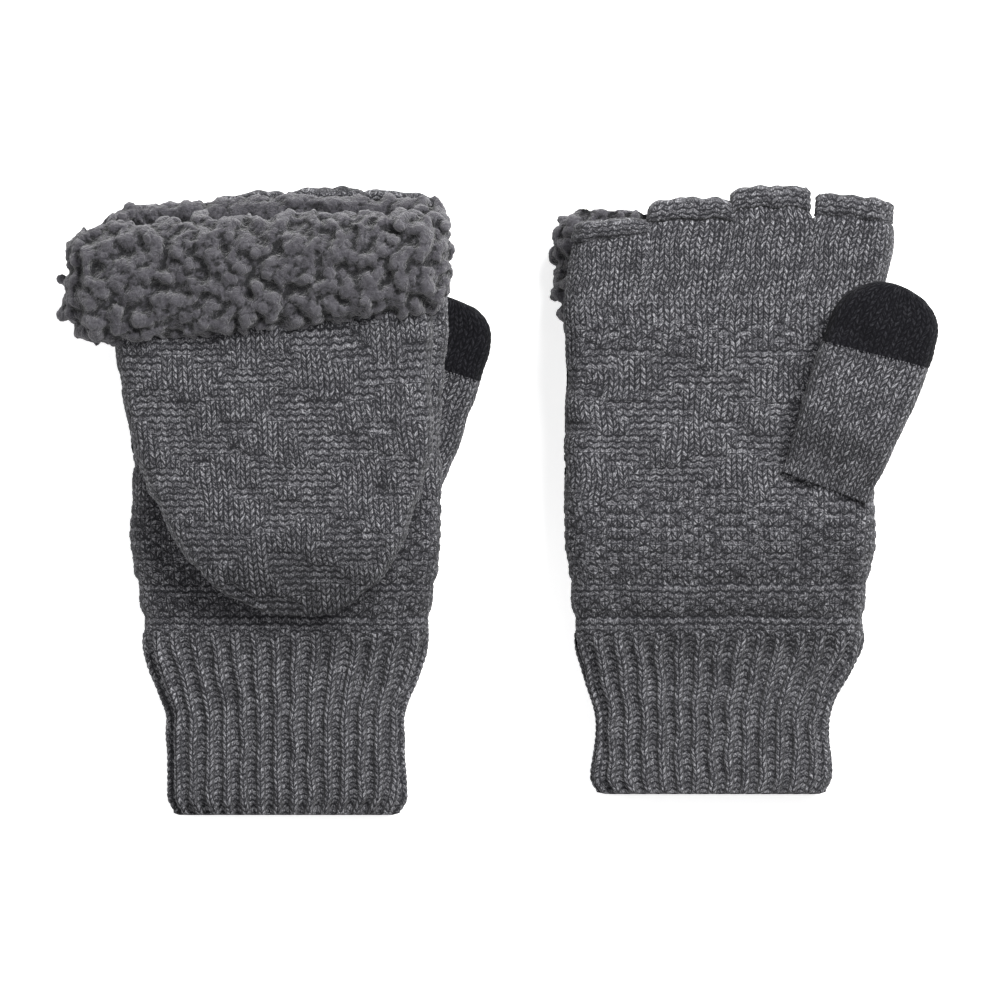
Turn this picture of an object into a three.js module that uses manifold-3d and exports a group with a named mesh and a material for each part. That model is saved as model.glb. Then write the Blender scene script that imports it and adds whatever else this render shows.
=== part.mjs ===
// A pair of convertible flip-top mittens lying flat, fingers towards +Y. Millimetres, +Z up.
// The left mitten lies back up with its cap flipped open on the back of the hand and its thumb
// tucked under the palm. The right mitten lies palm up on its own flipped-open cap.
import * as THREE from 'three';
import { LoftGeometry } from 'three/addons/geometries/LoftGeometry.js';
import { mergeVertices } from 'three/addons/utils/BufferGeometryUtils.js';
import Module from 'manifold-3d';

// Driving dimensions, all in millimetres unless a name says otherwise.
const handWidth = 103.4;
const indexFlare = 2.6; // how much further the index side stands out at the finger line
const handThickness = 15; // a lofty knit hand lying flat, both walls and the room between
const knitWall = 2.4;
const fingerLine = 66; // where the four finger stalls start
const handEnd = -44.6; // where the hand turns into the wrist cuff
const wristTaper = 4.6; // how far each side of the hand draws in towards the wrist
const cuffWidth = 78.6;
const cuffGather = 30; // the length over which the ribs gather the hand's width to the cuff's
const fingerTops = { index: 101.5, middle: 104.3, ring: 100.5, little: 95.5 };
const fingerWidths = { index: 28.4, middle: 26.6, ring: 26.6, little: 26.2 };
const fingerFlare = 1.04; // the open ends stand a little wider than the finger line
const edgeThickness = 3; // the rolled bind-off edge of a stall
const thumbLength = 71;
const thumbTipLength = 24;
const thumbBaseWidth = 28.4;
const thumbWidth = 35.4;
const thumbThickness = 11;
const thumbWall = 1.8;
const thumbTipRound = 16; // the length of the rounded end
const thumbLeanDegrees = 17.4;
const thumbHole = { across: 9, along: 6.5, fromBase: 11 };
const capTip = -39.2;
const capMouth = 57.7; // where the cap's knit ends and its sherpa mouth cuff starts
const capWidth = 109;
const capKnit = 2.2;
const capLining = 1.8;
const capRoom = 8.6; // the flat pocket inside the lining
const liningTip = -21; // the lining ends short of the knit tip
const capMiddleAtMouth = -3.1; // the mouth stands a little towards the little finger
const capDrift = 7; // the cap's tip stands this much nearer the thumb side than its mouth
const capRoundness = 2.25; // exponent of the cap's U outline
const mouthCuffFront = 97;
const mouthCuffProud = 8; // how far the turned-out cuff stands over the cap's face
const cuffRest = 71; // where the right mitten's mouth cuff rests on the table
const hingeLine = 62; // where the cap is sewn to the back of the hand
const aside = 20.7; // from the pair's middle line to the nearer edge of each hand
const gap = 0.3; // between pieces that touch
const layer = 0.8; // between layers of cloth that lie on each other
const ease = 0.6; // between the cap's knit and its lining
const thumbRise = { before: 8.5, run: 48 }; // the hand climbs on to the thumb ahead of its base
const capRise = { before: 24.8, beyond: 13 }; // cloth climbs over the cap from tip to lining

const capDepth = capRoom + 2 * (capKnit + ease + capLining);
const thumbInset = { left: 18.3, right: 14.1 }; // from the hand's thumb side to the thumb's middle
const cuffOverhang = { left: 19.1, right: 1.1, thumbSide: 0.9 }; // past the cap's width
const mittens = [
  {
    name: 'left', backUp: true, middleX: -handWidth / 2 - aside, wristEnd: -104.7, cuffShift: 0,
    mouthCuff: {
      outside: -capWidth / 2 - cuffOverhang.left, inside: capWidth / 2 + cuffOverhang.thumbSide,
    },
    thumb: { x: handWidth / 2 - thumbInset.left, y: -3.5 },
  },
  {
    name: 'right', backUp: false, middleX: handWidth / 2 + aside, wristEnd: -97.7, cuffShift: -2.4,
    mouthCuff: {
      outside: -capWidth / 2 - cuffOverhang.right, inside: capWidth / 2 + cuffOverhang.thumbSide,
    },
    thumb: { x: handWidth / 2 - thumbInset.right, y: 3.5 },
  },
];

const charcoal = { color: 0x4a4b4f, roughness: 0.95, metalness: 0 };
const sherpa = { color: 0x77737a, roughness: 1, metalness: 0 };
const black = { color: 0x1c1c1f, roughness: 0.9, metalness: 0 };

const wasm = await Module();
wasm.setup();

const { lerp, smoothstep, degToRad } = THREE.MathUtils;

// How the layers lie. A place in a mitten is (x, y, h): x towards the thumb side, y towards the
// fingers, and h from the palm's face (0) through the back of the hand to the cap.
function capStack(y) {
  return (layer + capDepth) * smoothstep(y, capTip - capRise.before, liningTip + capRise.beyond);
}

function thumbSideLift(thumb, x, y) {
  const overThumb = thumb.x - thumbBaseWidth / 3;
  const slope = (thumbThickness + 2 * layer) / (overThumb + handWidth / 2);
  const lifted = thumb.y - thumbRise.before;
  return slope * (x + handWidth / 2) * smoothstep(y, lifted - thumbRise.run, lifted);
}

function onTable(mitten, x, y, h) {
  if (mitten.backUp) return h + thumbSideLift(mitten.thumb, x, y);
  const risenByCuff = mouthCuffProud * Math.max(0, y - capTip) / (cuffRest - capTip);
  return risenByCuff + handThickness + capStack(y) - h;
}

function layered(mitten) {
  return (x, y, h) => new THREE.Vector3(mitten.middleX + x, y, onTable(mitten, x, y, h));
}

// One cross-section: a flat oval between left and right, low and high, at one station.
// A flat one is pressed to its middle line, which shuts the end of a pocket.
function oval({ left, right, low, high, flat = false }, flats = 6, turns = 4) {
  const round = Math.min((high - low) / 2, (right - left) / 2 - 0.5);
  const middle = (low + high) / 2;
  const rise = flat ? 0 : (high - low) / 2;
  const points = [];
  const across = (share) => lerp(left + round, right - round, share);
  for (let i = 0; i < flats; i++) points.push([across(i / flats), middle - rise]);
  for (let i = 0; i < turns; i++) {
    const turn = Math.PI * (i / turns - 0.5);
    points.push([right - round + round * Math.cos(turn), middle + rise * Math.sin(turn)]);
  }
  for (let i = flats; i > 0; i--) points.push([across(i / flats), middle + rise]);
  for (let i = 0; i < turns; i++) {
    const turn = Math.PI * (i / turns + 0.5);
    points.push([left + round + round * Math.cos(turn), middle + rise * Math.sin(turn)]);
  }
  return points;
}

function inset(box, wall) {
  return {
    left: box.left + wall, right: box.right - wall, low: box.low + wall, high: box.high - wall,
  };
}

function stations(from, to, count) {
  return Array.from({ length: count + 1 }, (_, i) => lerp(from, to, i / count));
}

// Stations that crowd together towards the far end, for a rounded tip.
function roundedStations(from, to, count) {
  return Array.from({ length: count + 1 }, (_, i) => lerp(from, to, Math.sin(i / count * Math.PI / 2)));
}

function closed(geometry) {
  const bare = new THREE.BufferGeometry().copy(geometry);
  bare.deleteAttribute('normal');
  bare.deleteAttribute('uv');
  const merged = mergeVertices(bare, 1e-4);
  const index = merged.getIndex().array;
  const position = merged.getAttribute('position');
  const corners = [new THREE.Vector3(), new THREE.Vector3(), new THREE.Vector3()];
  const kept = [];
  let volume = 0;
  for (let i = 0; i < index.length; i += 3) {
    const [a, b, c] = [index[i], index[i + 1], index[i + 2]];
    if (a === b || b === c || c === a) continue;
    kept.push(a, b, c);
    corners.forEach((corner, k) => corner.fromBufferAttribute(position, index[i + k]));
    volume += corners[0].dot(corners[1].cross(corners[2]));
  }
  merged.setIndex(volume < 0 ? kept.reverse() : kept);
  return merged;
}

function toSolid(geometry) {
  const vertProperties = new Float32Array(geometry.getAttribute('position').array);
  const triVerts = new Uint32Array(geometry.getIndex().array);
  return new wasm.Manifold(new wasm.Mesh({ numProp: 3, vertProperties, triVerts }));
}

function cutAway(geometry, tool) {
  const mesh = toSolid(geometry).subtract(toSolid(tool)).getMesh();
  const cut = new THREE.BufferGeometry();
  cut.setAttribute('position', new THREE.BufferAttribute(new Float32Array(mesh.vertProperties), 3));
  cut.setIndex(Array.from(mesh.triVerts));
  return closed(cut);
}

// A knitted tube along y. profile(y) gives its flat oval, place(x, y, h) lays it on the table.
function tube({ profile, place, from, to, wall, count, flats, turns }) {
  const ring = (y, box) => oval(box, flats, turns).map(([x, h]) => place(x, y, h));
  const along = stations(from, to, count);
  const outer = along.map((y) => ring(y, profile(y)));
  const inner = along.map((y) => ring(y, inset(profile(y), wall))).reverse();
  return closed(new LoftGeometry([...outer, ...inner, outer[0]], {}));
}

// The same with its far end closed, such as a pocket or a fingertip.
function pocket({ profile, place, mouth, tip, wall, count, flats, turns }) {
  const ring = (y, box) => oval(box, flats, turns).map(([x, h]) => place(x, y, h));
  const shut = (y, box) => oval({ ...box, flat: true }, flats, turns).map(([x, h]) => place(x, y, h));
  const insideTip = tip + Math.sign(mouth - tip) * wall;
  const inside = (y) => inset(profile(y), wall);
  const outer = roundedStations(mouth, tip, count).map((y) => ring(y, profile(y)));
  const inner = roundedStations(mouth, insideTip, count).map((y) => ring(y, inside(y))).reverse();
  const sections = [shut(insideTip, inside(insideTip)), ...inner, ...outer, shut(tip, profile(tip))];
  return closed(new LoftGeometry(sections, {}));
}

function piece(name, geometry, finish) {
  geometry.computeVertexNormals();
  const mesh = new THREE.Mesh(geometry, new THREE.MeshStandardMaterial(finish));
  mesh.name = name;
  return mesh;
}

// The hand, with a hole in its palm wall that leads into the thumb.
function handProfile(y) {
  const wristwards = smoothstep(-y, 10, -handEnd + 12);
  const fingerwards = smoothstep(y, 10, fingerLine);
  const half = handWidth / 2 - wristTaper * wristwards;
  return { left: -half, right: half + indexFlare * fingerwards, low: 0, high: handThickness };
}

function thumbPlace(mitten) {
  const lean = degToRad(thumbLeanDegrees);
  return (across, along, h) => {
    const x = mitten.thumb.x + across * Math.cos(lean) + along * Math.sin(lean);
    const y = mitten.thumb.y - across * Math.sin(lean) + along * Math.cos(lean);
    const z = mitten.backUp ? h : onTable(mitten, x, y, -layer - h);
    return new THREE.Vector3(mitten.middleX + x, y, z);
  };
}

function thumbHoleTool(mitten) {
  const outline = new THREE.Shape();
  outline.absellipse(0, 0, thumbHole.across, thumbHole.along, 0, 2 * Math.PI);
  const reach = knitWall + thumbWall + layer;
  const palmSide = mitten.backUp ? thumbThickness : 0;
  const middle = thumbPlace(mitten)(0, thumbHole.fromBase, palmSide);
  const options = { depth: 2 * reach, bevelEnabled: false, curveSegments: 5 };
  const tool = new THREE.ExtrudeGeometry(outline, options);
  tool.rotateZ(-degToRad(thumbLeanDegrees));
  tool.translate(middle.x, middle.y, middle.z - reach);
  return closed(tool);
}

function hand(mitten) {
  const shell = tube({
    profile: handProfile, place: layered(mitten), from: handEnd, to: fingerLine,
    wall: knitWall, count: 9,
  });
  return cutAway(shell, thumbHoleTool(mitten));
}

function wristCuff(mitten) {
  const top = handEnd - gap;
  const profile = (y) => {
    const wide = handProfile(top).right;
    const gathered = smoothstep(-y, -top, -top + cuffGather);
    const half = lerp(wide, cuffWidth / 2, gathered);
    const shift = mitten.cuffShift * gathered;
    return { left: shift - half, right: shift + half, low: 0, high: handThickness };
  };
  return tube({
    profile, place: layered(mitten), from: mitten.wristEnd, to: top, wall: knitWall, count: 6,
  });
}

// The four finger stalls stand side by side on the hand's open end.
function fingerPlan() {
  const { left, right } = handProfile(fingerLine);
  const names = ['little', 'ring', 'middle', 'index'];
  const total = names.reduce((sum, name) => sum + fingerWidths[name], 0);
  let start = left;
  return names.map((name) => {
    const width = fingerWidths[name] / total * (right - left);
    start += width;
    return { name, left: start - width + gap / 2, right: start - gap / 2, middle: (left + right) / 2 };
  });
}

function stallProfile(finger) {
  return (y) => {
    const spread = lerp(1, fingerFlare, (y - fingerLine) / (fingerTops.middle - fingerLine));
    const from = (x) => finger.middle + (x - finger.middle) * spread;
    return {
      left: from(finger.left), right: from(finger.right), low: gap, high: handThickness - gap,
    };
  };
}

function stall(mitten, finger) {
  return tube({
    profile: stallProfile(finger), place: layered(mitten), from: fingerLine + gap,
    to: fingerTops[finger.name] - edgeThickness - gap, wall: knitWall, count: 2, flats: 3, turns: 4,
  });
}

function stallEdge(mitten, finger) {
  return tube({
    profile: stallProfile(finger), place: layered(mitten),
    from: fingerTops[finger.name] - edgeThickness, to: fingerTops[finger.name],
    wall: edgeThickness, count: 1, flats: 3, turns: 4,
  });
}

// The thumb lies flat on the palm's face and leans out past the edge of the hand.
function thumbProfile(along) {
  const swell = smoothstep(along, 0, 0.55 * thumbLength);
  const fromTip = Math.min(1, (thumbLength - along) / thumbTipRound);
  const round = Math.sqrt(Math.max(0.12, 1 - (1 - fromTip) ** 2.6));
  const half = lerp(thumbBaseWidth, thumbWidth, swell) / 2 * round;
  const thin = thumbThickness / 2 * (1 - Math.sqrt(round)) * 0.6;
  return { left: -half, right: half, low: thin, high: thumbThickness - thin };
}

function thumbStall(mitten) {
  const shell = pocket({
    profile: thumbProfile, place: thumbPlace(mitten), mouth: thumbLength - thumbTipLength - gap,
    tip: 0, wall: thumbWall, count: 6, flats: 4, turns: 4,
  });
  return cutAway(shell, thumbHoleTool(mitten));
}

function thumbTip(mitten) {
  return pocket({
    profile: thumbProfile, place: thumbPlace(mitten), mouth: thumbLength - thumbTipLength,
    tip: thumbLength, wall: thumbWall, count: 6, flats: 4, turns: 4,
  });
}

// The cap is a knit pocket with a sherpa lining and a turned-out sherpa cuff round its mouth.
function capProfile(tip, inward) {
  return (y) => {
    const reach = Math.min(1, (hingeLine - y) / (hingeLine - tip));
    const outline = Math.max(0.02, 1 - reach ** capRoundness) ** (1 / capRoundness);
    const half = (capWidth / 2 - inward) * outline;
    const middle = capMiddleAtMouth + capDrift * (hingeLine - y) / (hingeLine - capTip);
    return {
      left: middle - half, right: middle + half,
      low: handThickness + layer + inward, high: handThickness + capStack(y) - inward,
    };
  };
}

function capShell(mitten) {
  return pocket({
    profile: capProfile(capTip, 0), place: layered(mitten), mouth: capMouth, tip: capTip,
    wall: capKnit, count: 9, flats: 6, turns: 3,
  });
}

function capLiningPocket(mitten) {
  return pocket({
    profile: capProfile(liningTip, capKnit + ease), place: layered(mitten), mouth: capMouth,
    tip: liningTip, wall: capLining, count: 9, flats: 6, turns: 3,
  });
}

function mouthCuff(mitten) {
  const room = capProfile(liningTip, capKnit + ease + capLining)(capMouth);
  const { outside, inside } = mitten.mouthCuff;
  const from = capMouth + gap;
  const depth = mouthCuffFront - from;
  const crown = (y) => Math.sqrt(Math.max(0, 1 - (2 * (y - from) / depth - 1) ** 4));
  const outer = (y) => ({
    left: lerp(room.left - capLining, outside, crown(y)),
    right: lerp(room.right + capLining, inside, crown(y)),
    low: handThickness + layer,
    high: lerp(room.high + capLining, handThickness + layer + capDepth + mouthCuffProud, crown(y)),
  });
  const place = layered(mitten);
  const ring = (y, box) => oval(box, 6, 4).map(([x, h]) => place(x, y, h));
  const along = stations(from, mouthCuffFront, 8);
  const sections = [
    ...along.map((y) => ring(y, outer(y))),
    ring(mouthCuffFront, room),
    ring(from, room),
    ring(from, outer(from)),
  ];
  return closed(new LoftGeometry(sections, {}));
}

function buildMitten(mitten) {
  const group = new THREE.Group();
  const add = (name, geometry, finish) => group.add(piece(`${mitten.name}_${name}`, geometry, finish));
  add('hand', hand(mitten), charcoal);
  add('wrist_cuff', wristCuff(mitten), charcoal);
  for (const finger of fingerPlan()) {
    add(`${finger.name}_stall`, stall(mitten, finger), charcoal);
    add(`${finger.name}_edge`, stallEdge(mitten, finger), charcoal);
  }
  add('thumb_stall', thumbStall(mitten), charcoal);
  add('thumb_tip', thumbTip(mitten), black);
  add('cap_shell', capShell(mitten), charcoal);
  add('cap_lining', capLiningPocket(mitten), sherpa);
  add('cap_mouth_cuff', mouthCuff(mitten), sherpa);
  return group;
}

// The origin is the middle of the pair's footprint, on the table.
const pair = new THREE.Group();
mittens.forEach((mitten) => pair.add(buildMitten(mitten)));
const box = new THREE.Box3().setFromObject(pair);
pair.position.set(-(box.min.x + box.max.x) / 2, -(box.min.y + box.max.y) / 2, -box.min.z);

export default pair;
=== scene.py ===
"""The looks of a pair of convertible flip-top mittens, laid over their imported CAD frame.

Lengths in the classes are millimetres, as in the part's own source; Blender gets metres.
"""
import logging
import math
from dataclasses import dataclass, field
from enum import Enum
from typing import Callable

import bpy
import numpy as np
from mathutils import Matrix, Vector


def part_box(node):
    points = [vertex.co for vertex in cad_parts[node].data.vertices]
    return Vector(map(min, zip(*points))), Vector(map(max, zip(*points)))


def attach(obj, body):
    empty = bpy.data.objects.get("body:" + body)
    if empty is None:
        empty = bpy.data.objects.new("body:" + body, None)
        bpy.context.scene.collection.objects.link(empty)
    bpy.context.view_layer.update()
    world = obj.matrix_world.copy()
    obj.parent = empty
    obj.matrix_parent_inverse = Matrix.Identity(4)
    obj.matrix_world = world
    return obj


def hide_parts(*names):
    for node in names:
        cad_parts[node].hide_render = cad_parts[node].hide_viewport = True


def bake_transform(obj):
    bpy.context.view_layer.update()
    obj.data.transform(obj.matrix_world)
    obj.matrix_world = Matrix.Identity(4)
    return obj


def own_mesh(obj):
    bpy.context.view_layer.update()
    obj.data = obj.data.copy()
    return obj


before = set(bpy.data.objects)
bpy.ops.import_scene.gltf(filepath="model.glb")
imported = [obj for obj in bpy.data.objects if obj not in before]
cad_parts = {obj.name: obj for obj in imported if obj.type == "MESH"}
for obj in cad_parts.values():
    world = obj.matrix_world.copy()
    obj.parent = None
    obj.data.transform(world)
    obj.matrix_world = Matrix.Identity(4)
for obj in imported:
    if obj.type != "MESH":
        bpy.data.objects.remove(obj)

LOG = logging.getLogger("mittens")
MM = 0.001
Array = np.ndarray

# A side rounded all the way: more than half of any cloth's thickness.
FULL_ROUND = 99.0
# Stitches are counted from here, so that no count is negative.
FIRST_COURSE = 400.0
FIRST_WALE = 400.35
# The least height of a piece, and of a clump of pile, over the table.
TABLE_CLEAR = 0.1 * MM
PILE_CLEAR = 0.3 * MM


class Side(Enum):
    """The two mittens of the pair, by the hand that each fits."""

    LEFT = "left"
    RIGHT = "right"


class Stitch(Enum):
    """The knit textures on the pair."""

    STOCKINETTE = "plain knit, columns of V stitches"
    TEXTURED = "bands of moss, skewed knit and purl blocks, and seed ridges"
    CAP = "skewed knit and purl blocks on the flip-top cap"
    RIB = "chunky one-by-one rib"
    PURL = "purl bumps, as on a rolled bind-off edge"


def smooth(value: Array | float, start: float, end: float) -> Array:
    """Rises smoothly from 0 at start to 1 at end.

    Args:
        value: Where to read the step.
        start: The value where it leaves 0.
        end: The value where it reaches 1.

    Returns:
        The step, between 0 and 1.
    """
    share = np.clip((np.asarray(value, float) - start) / (end - start), 0.0, 1.0)
    return share * share * (3.0 - 2.0 * share)


def bell(value: Array, middle: float, width: float) -> Array:
    """A rounded hump that is 1 at middle and fades within width on both sides."""
    return np.exp(-(((np.asarray(value, float) - middle) / width) ** 2))


def wander(across: Array, along: Array, size: float, seed: int) -> Array:
    """A gentle seeded unevenness, such as soft cloth has.

    Args:
        across: First coordinate, in millimetres.
        along: Second coordinate, in millimetres.
        size: How far apart its humps are, in millimetres.
        seed: Which unevenness.

    Returns:
        Heights that mostly lie between -1 and 1.
    """
    chance = np.random.default_rng(seed)
    total = np.zeros(np.broadcast(across, along).shape)
    for _ in range(7):
        turn = chance.uniform(0.0, 2.0 * math.pi)
        pitch = 2.0 * math.pi / (size * chance.uniform(0.7, 1.6))
        start = chance.uniform(0.0, 2.0 * math.pi)
        run = across * math.cos(turn) + along * math.sin(turn)
        total = total + np.sin(pitch * run + start)
    return total / 3.2


@dataclass(frozen=True)
class Waves:
    """One gentle seeded unevenness of soft cloth."""

    height: float
    size: float
    seed: int

    def at(self, across: Array, along: Array) -> Array:
        """How far the cloth stands out at a place, in millimetres."""
        return self.height * wander(across, along, self.size, self.seed)


@dataclass(frozen=True)
class Gauge:
    """The size of a stitch and how finely it is modelled."""

    wale: float = 3.33
    course: float = 2.17
    columns: int = 6
    rows: int = 4
    height: float = 0.62


@dataclass(frozen=True)
class Blocks:
    """Knit and purl blocks, counted in stitches, that lean one way and then the other."""

    wide: float = 7.0
    purled: float = 4.0
    tall: float = 10.0
    lifted: float = 3.0
    lean_every: float = 2.0


@dataclass(frozen=True)
class Knitting:
    """Turns a place on the cloth, counted in wales and courses, into yarn relief."""

    slant: float = 0.95
    arc: float = 0.4
    purl_height: float = 0.88
    blocks: Blocks = Blocks()
    recesses: tuple[float, float] = (0.3, 0.42)
    recess_fade: float = 3.0

    def plain(self, wales: Array, courses: Array) -> Array:
        """Stockinette: two slanted legs to each wale.

        Args:
            wales: Place across the cloth, in wales.
            courses: Place along the cloth, in courses.

        Returns:
            Relief from 0, between the strands, to 1, on top of them.
        """
        spread = np.abs(2.0 * (wales % 1.0) - 1.0)
        leg = np.sqrt(np.clip(1.0 - (2.0 * spread - 1.0) ** 2, 0.0, 1.0))
        strand = np.sin(math.pi * ((courses - self.slant * spread) % 1.0))
        return leg * (0.25 + 0.75 * np.sqrt(np.clip(strand, 0.0, 1.0)))

    def purl(self, wales: Array, courses: Array) -> Array:
        """Purl bumps: short arcs that lie across the wales.

        Args:
            wales: Place across the cloth, in wales.
            courses: Place along the cloth, in courses.

        Returns:
            Relief from 0 to 1.
        """
        arc = self.arc * np.abs(2.0 * (wales % 1.0) - 1.0) - self.arc / 2.0
        bump = np.sqrt(np.clip(np.sin(math.pi * ((courses + arc) % 1.0)), 0.0, 1.0))
        return bump * (0.55 + 0.45 * np.abs(np.sin(math.pi * wales)))

    def is_purl(self, stitch: Stitch, wales: Array, courses: Array, y: Array) -> Array:
        """Which stitches are purled.

        Args:
            stitch: The texture.
            wales: Place across the cloth, in wales.
            courses: Place along the cloth, in courses.
            y: The same place along the mitten, in millimetres, for the hand's bands.

        Returns:
            1 where a stitch is purled and 0 where it is knitted.
        """
        wale, course = np.floor(wales), np.floor(courses)
        if stitch is Stitch.PURL:
            return np.ones_like(wales)
        if stitch is Stitch.RIB:
            return wale % 2.0
        moss = (wale + course) % 2.0
        size = self.blocks
        way = np.where(course % (2.0 * size.tall) < size.tall, 1.0, -1.0)
        leaning = way * np.floor(course / size.lean_every)
        skewed = (wale + leaning) % size.wide < size.purled
        group = np.floor((wale + leaning) / size.wide)
        lower = (course + size.lifted * (group % 2.0)) % size.tall < size.tall / 2.0
        blocks = np.where(lower, skewed, ~skewed).astype(float)
        if stitch is Stitch.CAP:
            return blocks
        if stitch is Stitch.STOCKINETTE:
            return np.zeros_like(wales)
        marl = np.where(wale % 3.0 == 0.0, 0.0, moss)
        seed = np.where(course % 5.0 < 2.0, 1.0, moss)
        broken = np.where(wale % 5.0 < 2.0, course % 2.0, moss)
        mask = np.where(y > BANDS.plain, 0.0, marl)
        mask = np.where(y < BANDS.marl, blocks, mask)
        mask = np.where(y < BANDS.blocks, broken, mask)
        return np.where(y < BANDS.moss, seed, mask)

    def relief(self, stitch: Stitch, wales: Array, courses: Array, y: Array) -> tuple[Array, Array]:
        """The yarn's relief and where it is purled.

        Args:
            stitch: The texture.
            wales: Place across the cloth, in wales.
            courses: Place along the cloth, in courses.
            y: Place along the mitten, in millimetres.

        Returns:
            The relief, about 0 to 1, and the purl mask.
        """
        mask = self.is_purl(stitch, wales, courses, y)
        knit, bump = self.plain(wales, courses), self.purl(wales, courses)
        return np.where(mask > 0.5, self.purl_height * bump, knit), mask

    def recess(self, stitch: Stitch, purled: Array, y: Array) -> Array:
        """How far the purled stitches sink behind the knitted ones, in millimetres.

        Args:
            stitch: The texture.
            purled: The purl mask, rows by columns.
            y: Place along the mitten, in millimetres.

        Returns:
            The recess at each point, eased over the neighbouring ones.
        """
        if stitch not in (Stitch.TEXTURED, Stitch.CAP):
            return np.zeros_like(purled)
        eased = purled.copy()
        for _ in range(2):
            eased[:, 1:-1] = (eased[:, :-2] + 2.0 * eased[:, 1:-1] + eased[:, 2:]) / 4.0
            eased[1:-1] = (eased[:-2] + 2.0 * eased[1:-1] + eased[2:]) / 4.0
        shallow, deep = self.recesses
        if stitch is Stitch.CAP:
            return deep * eased
        fade = smooth(y, BANDS.blocks - self.recess_fade, BANDS.blocks)
        return (shallow + (deep - shallow) * fade) * eased


@dataclass(frozen=True)
class Bands:
    """Where the hand's textures change, in millimetres along the mitten from its middle."""

    plain: float = 60.0
    marl: float = 50.0
    blocks: float = 0.0
    moss: float = -20.0
    welts: tuple[float, ...] = (-27.5, -39.0)


BANDS = Bands()


@dataclass(frozen=True)
class Lay:
    """How one mitten's layers lie on the table.

    A place in a mitten is x towards its thumb side, y towards its fingers, and h from the
    palm's face, through the back of the hand, to the flipped-open cap.
    """

    side: Side
    middle: float
    shift_y: float
    hand_half: float = 51.7
    hand_thick: float = 15.0
    finger_line: float = 66.0
    layer: float = 0.8
    cap_depth: float = 17.8
    cap_tip: float = -39.2
    cap_rise: tuple[float, float] = (-64.0, -8.0)
    thumb_rise: tuple[float, float] = (-60.0, -12.0)
    thumb_slope: float = 12.6 / 75.633
    cuff_proud: float = 8.0
    cuff_rest: float = 71.0

    @classmethod
    def of(cls, side: Side) -> "Lay":
        """Finds a mitten's place from its hand in the CAD frame.

        Args:
            side: Which mitten.

        Returns:
            The lay of that mitten.
        """
        low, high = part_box(f"{side.value}_hand")
        middle = low[0] / MM + cls.hand_half
        return cls(side, middle, high[1] / MM - cls.finger_line)

    @property
    def back_up(self) -> bool:
        """Whether the back of the hand is up."""
        return self.side is Side.LEFT

    @property
    def cap_floor(self) -> float:
        """How far through the layers the cap's near face lies."""
        return self.hand_thick + self.layer

    def cap_stack(self, y: Array) -> Array:
        """How high the cap's far face stands over the back of the hand."""
        return (self.layer + self.cap_depth) * smooth(y, *self.cap_rise)

    def height(self, x: Array, y: Array, h: Array) -> Array:
        """Height over the table of a place in the mitten.

        Args:
            x: Towards the thumb side.
            y: Towards the fingers.
            h: Through the layers.

        Returns:
            The height in millimetres.
        """
        if self.back_up:
            return h + self.thumb_slope * (x + self.hand_half) * smooth(y, *self.thumb_rise)
        raised = np.maximum(0.0, y - self.cap_tip) / (self.cuff_rest - self.cap_tip)
        return self.cuff_proud * raised + self.hand_thick + self.cap_stack(y) - h

    def place(self, x: Array, y: Array, h: Array) -> Array:
        """Places points on the table.

        Args:
            x: Towards the thumb side.
            y: Towards the fingers.
            h: Through the layers.

        Returns:
            Points in metres, with the coordinates in the last axis.
        """
        z = self.height(x, y, h)
        x, y, z = np.broadcast_arrays(x + self.middle, y + self.shift_y, z)
        return np.stack([x, y, z], axis=-1) * MM


@dataclass(frozen=True)
class Section:
    """A cross-section: a flat rounded box, with its own roundness at each side."""

    left: float
    right: float
    low: float
    high: float
    round_left: float = FULL_ROUND
    round_right: float = FULL_ROUND

    def inset(self, wall: float) -> "Section":
        """The section one wall further in."""
        return Section(
            self.left + wall, self.right - wall, self.low + wall, self.high - wall,
            self.round_left, self.round_right,
        )

    def ring(self, count: int) -> tuple[Array, Array, float]:
        """Points round the section, evenly spaced, from its left side over its high face.

        Args:
            count: How many steps there are all the way round.

        Returns:
            The across and height coordinates of count + 1 points, the last on the first,
            and the distance all the way round.
        """
        half_high = (self.high - self.low) / 2.0
        wide = max(self.right - self.left, 1e-3)
        left = min(self.round_left, half_high, wide / 2.0)
        right = min(self.round_right, half_high, wide / 2.0)
        runs = np.array([
            half_high - left, left * math.pi / 2, wide - left - right,
            right * math.pi / 2, half_high - right,
        ])
        ends = np.concatenate([[0.0], np.cumsum(runs)])
        total = ends[-1]
        way = np.linspace(0.0, 2.0 * total, count + 1)
        fold = np.where(way > total, 2.0 * total - way, way)
        turn_left = np.clip((fold - ends[1]) / max(left, 1e-6), 0.0, math.pi / 2)
        turn_right = np.clip((fold - ends[3]) / max(right, 1e-6), 0.0, math.pi / 2)
        across = np.select(
            [fold < ends[1], fold < ends[2], fold < ends[3], fold < ends[4]],
            [
                np.full_like(fold, self.left), self.left + left * (1.0 - np.cos(turn_left)),
                self.left + left + fold - ends[2],
                self.right - right * (1.0 - np.sin(turn_right)),
            ],
            self.right,
        )
        rise = np.select(
            [fold < ends[1], fold < ends[2], fold < ends[3], fold < ends[4]],
            [
                fold, half_high - left + left * np.sin(turn_left),
                np.full_like(fold, half_high),
                half_high - right + right * np.cos(turn_right),
            ],
            total - fold,
        )
        middle = (self.high + self.low) / 2.0
        return across, middle + np.where(way > total, -rise, rise), 2.0 * total


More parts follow.
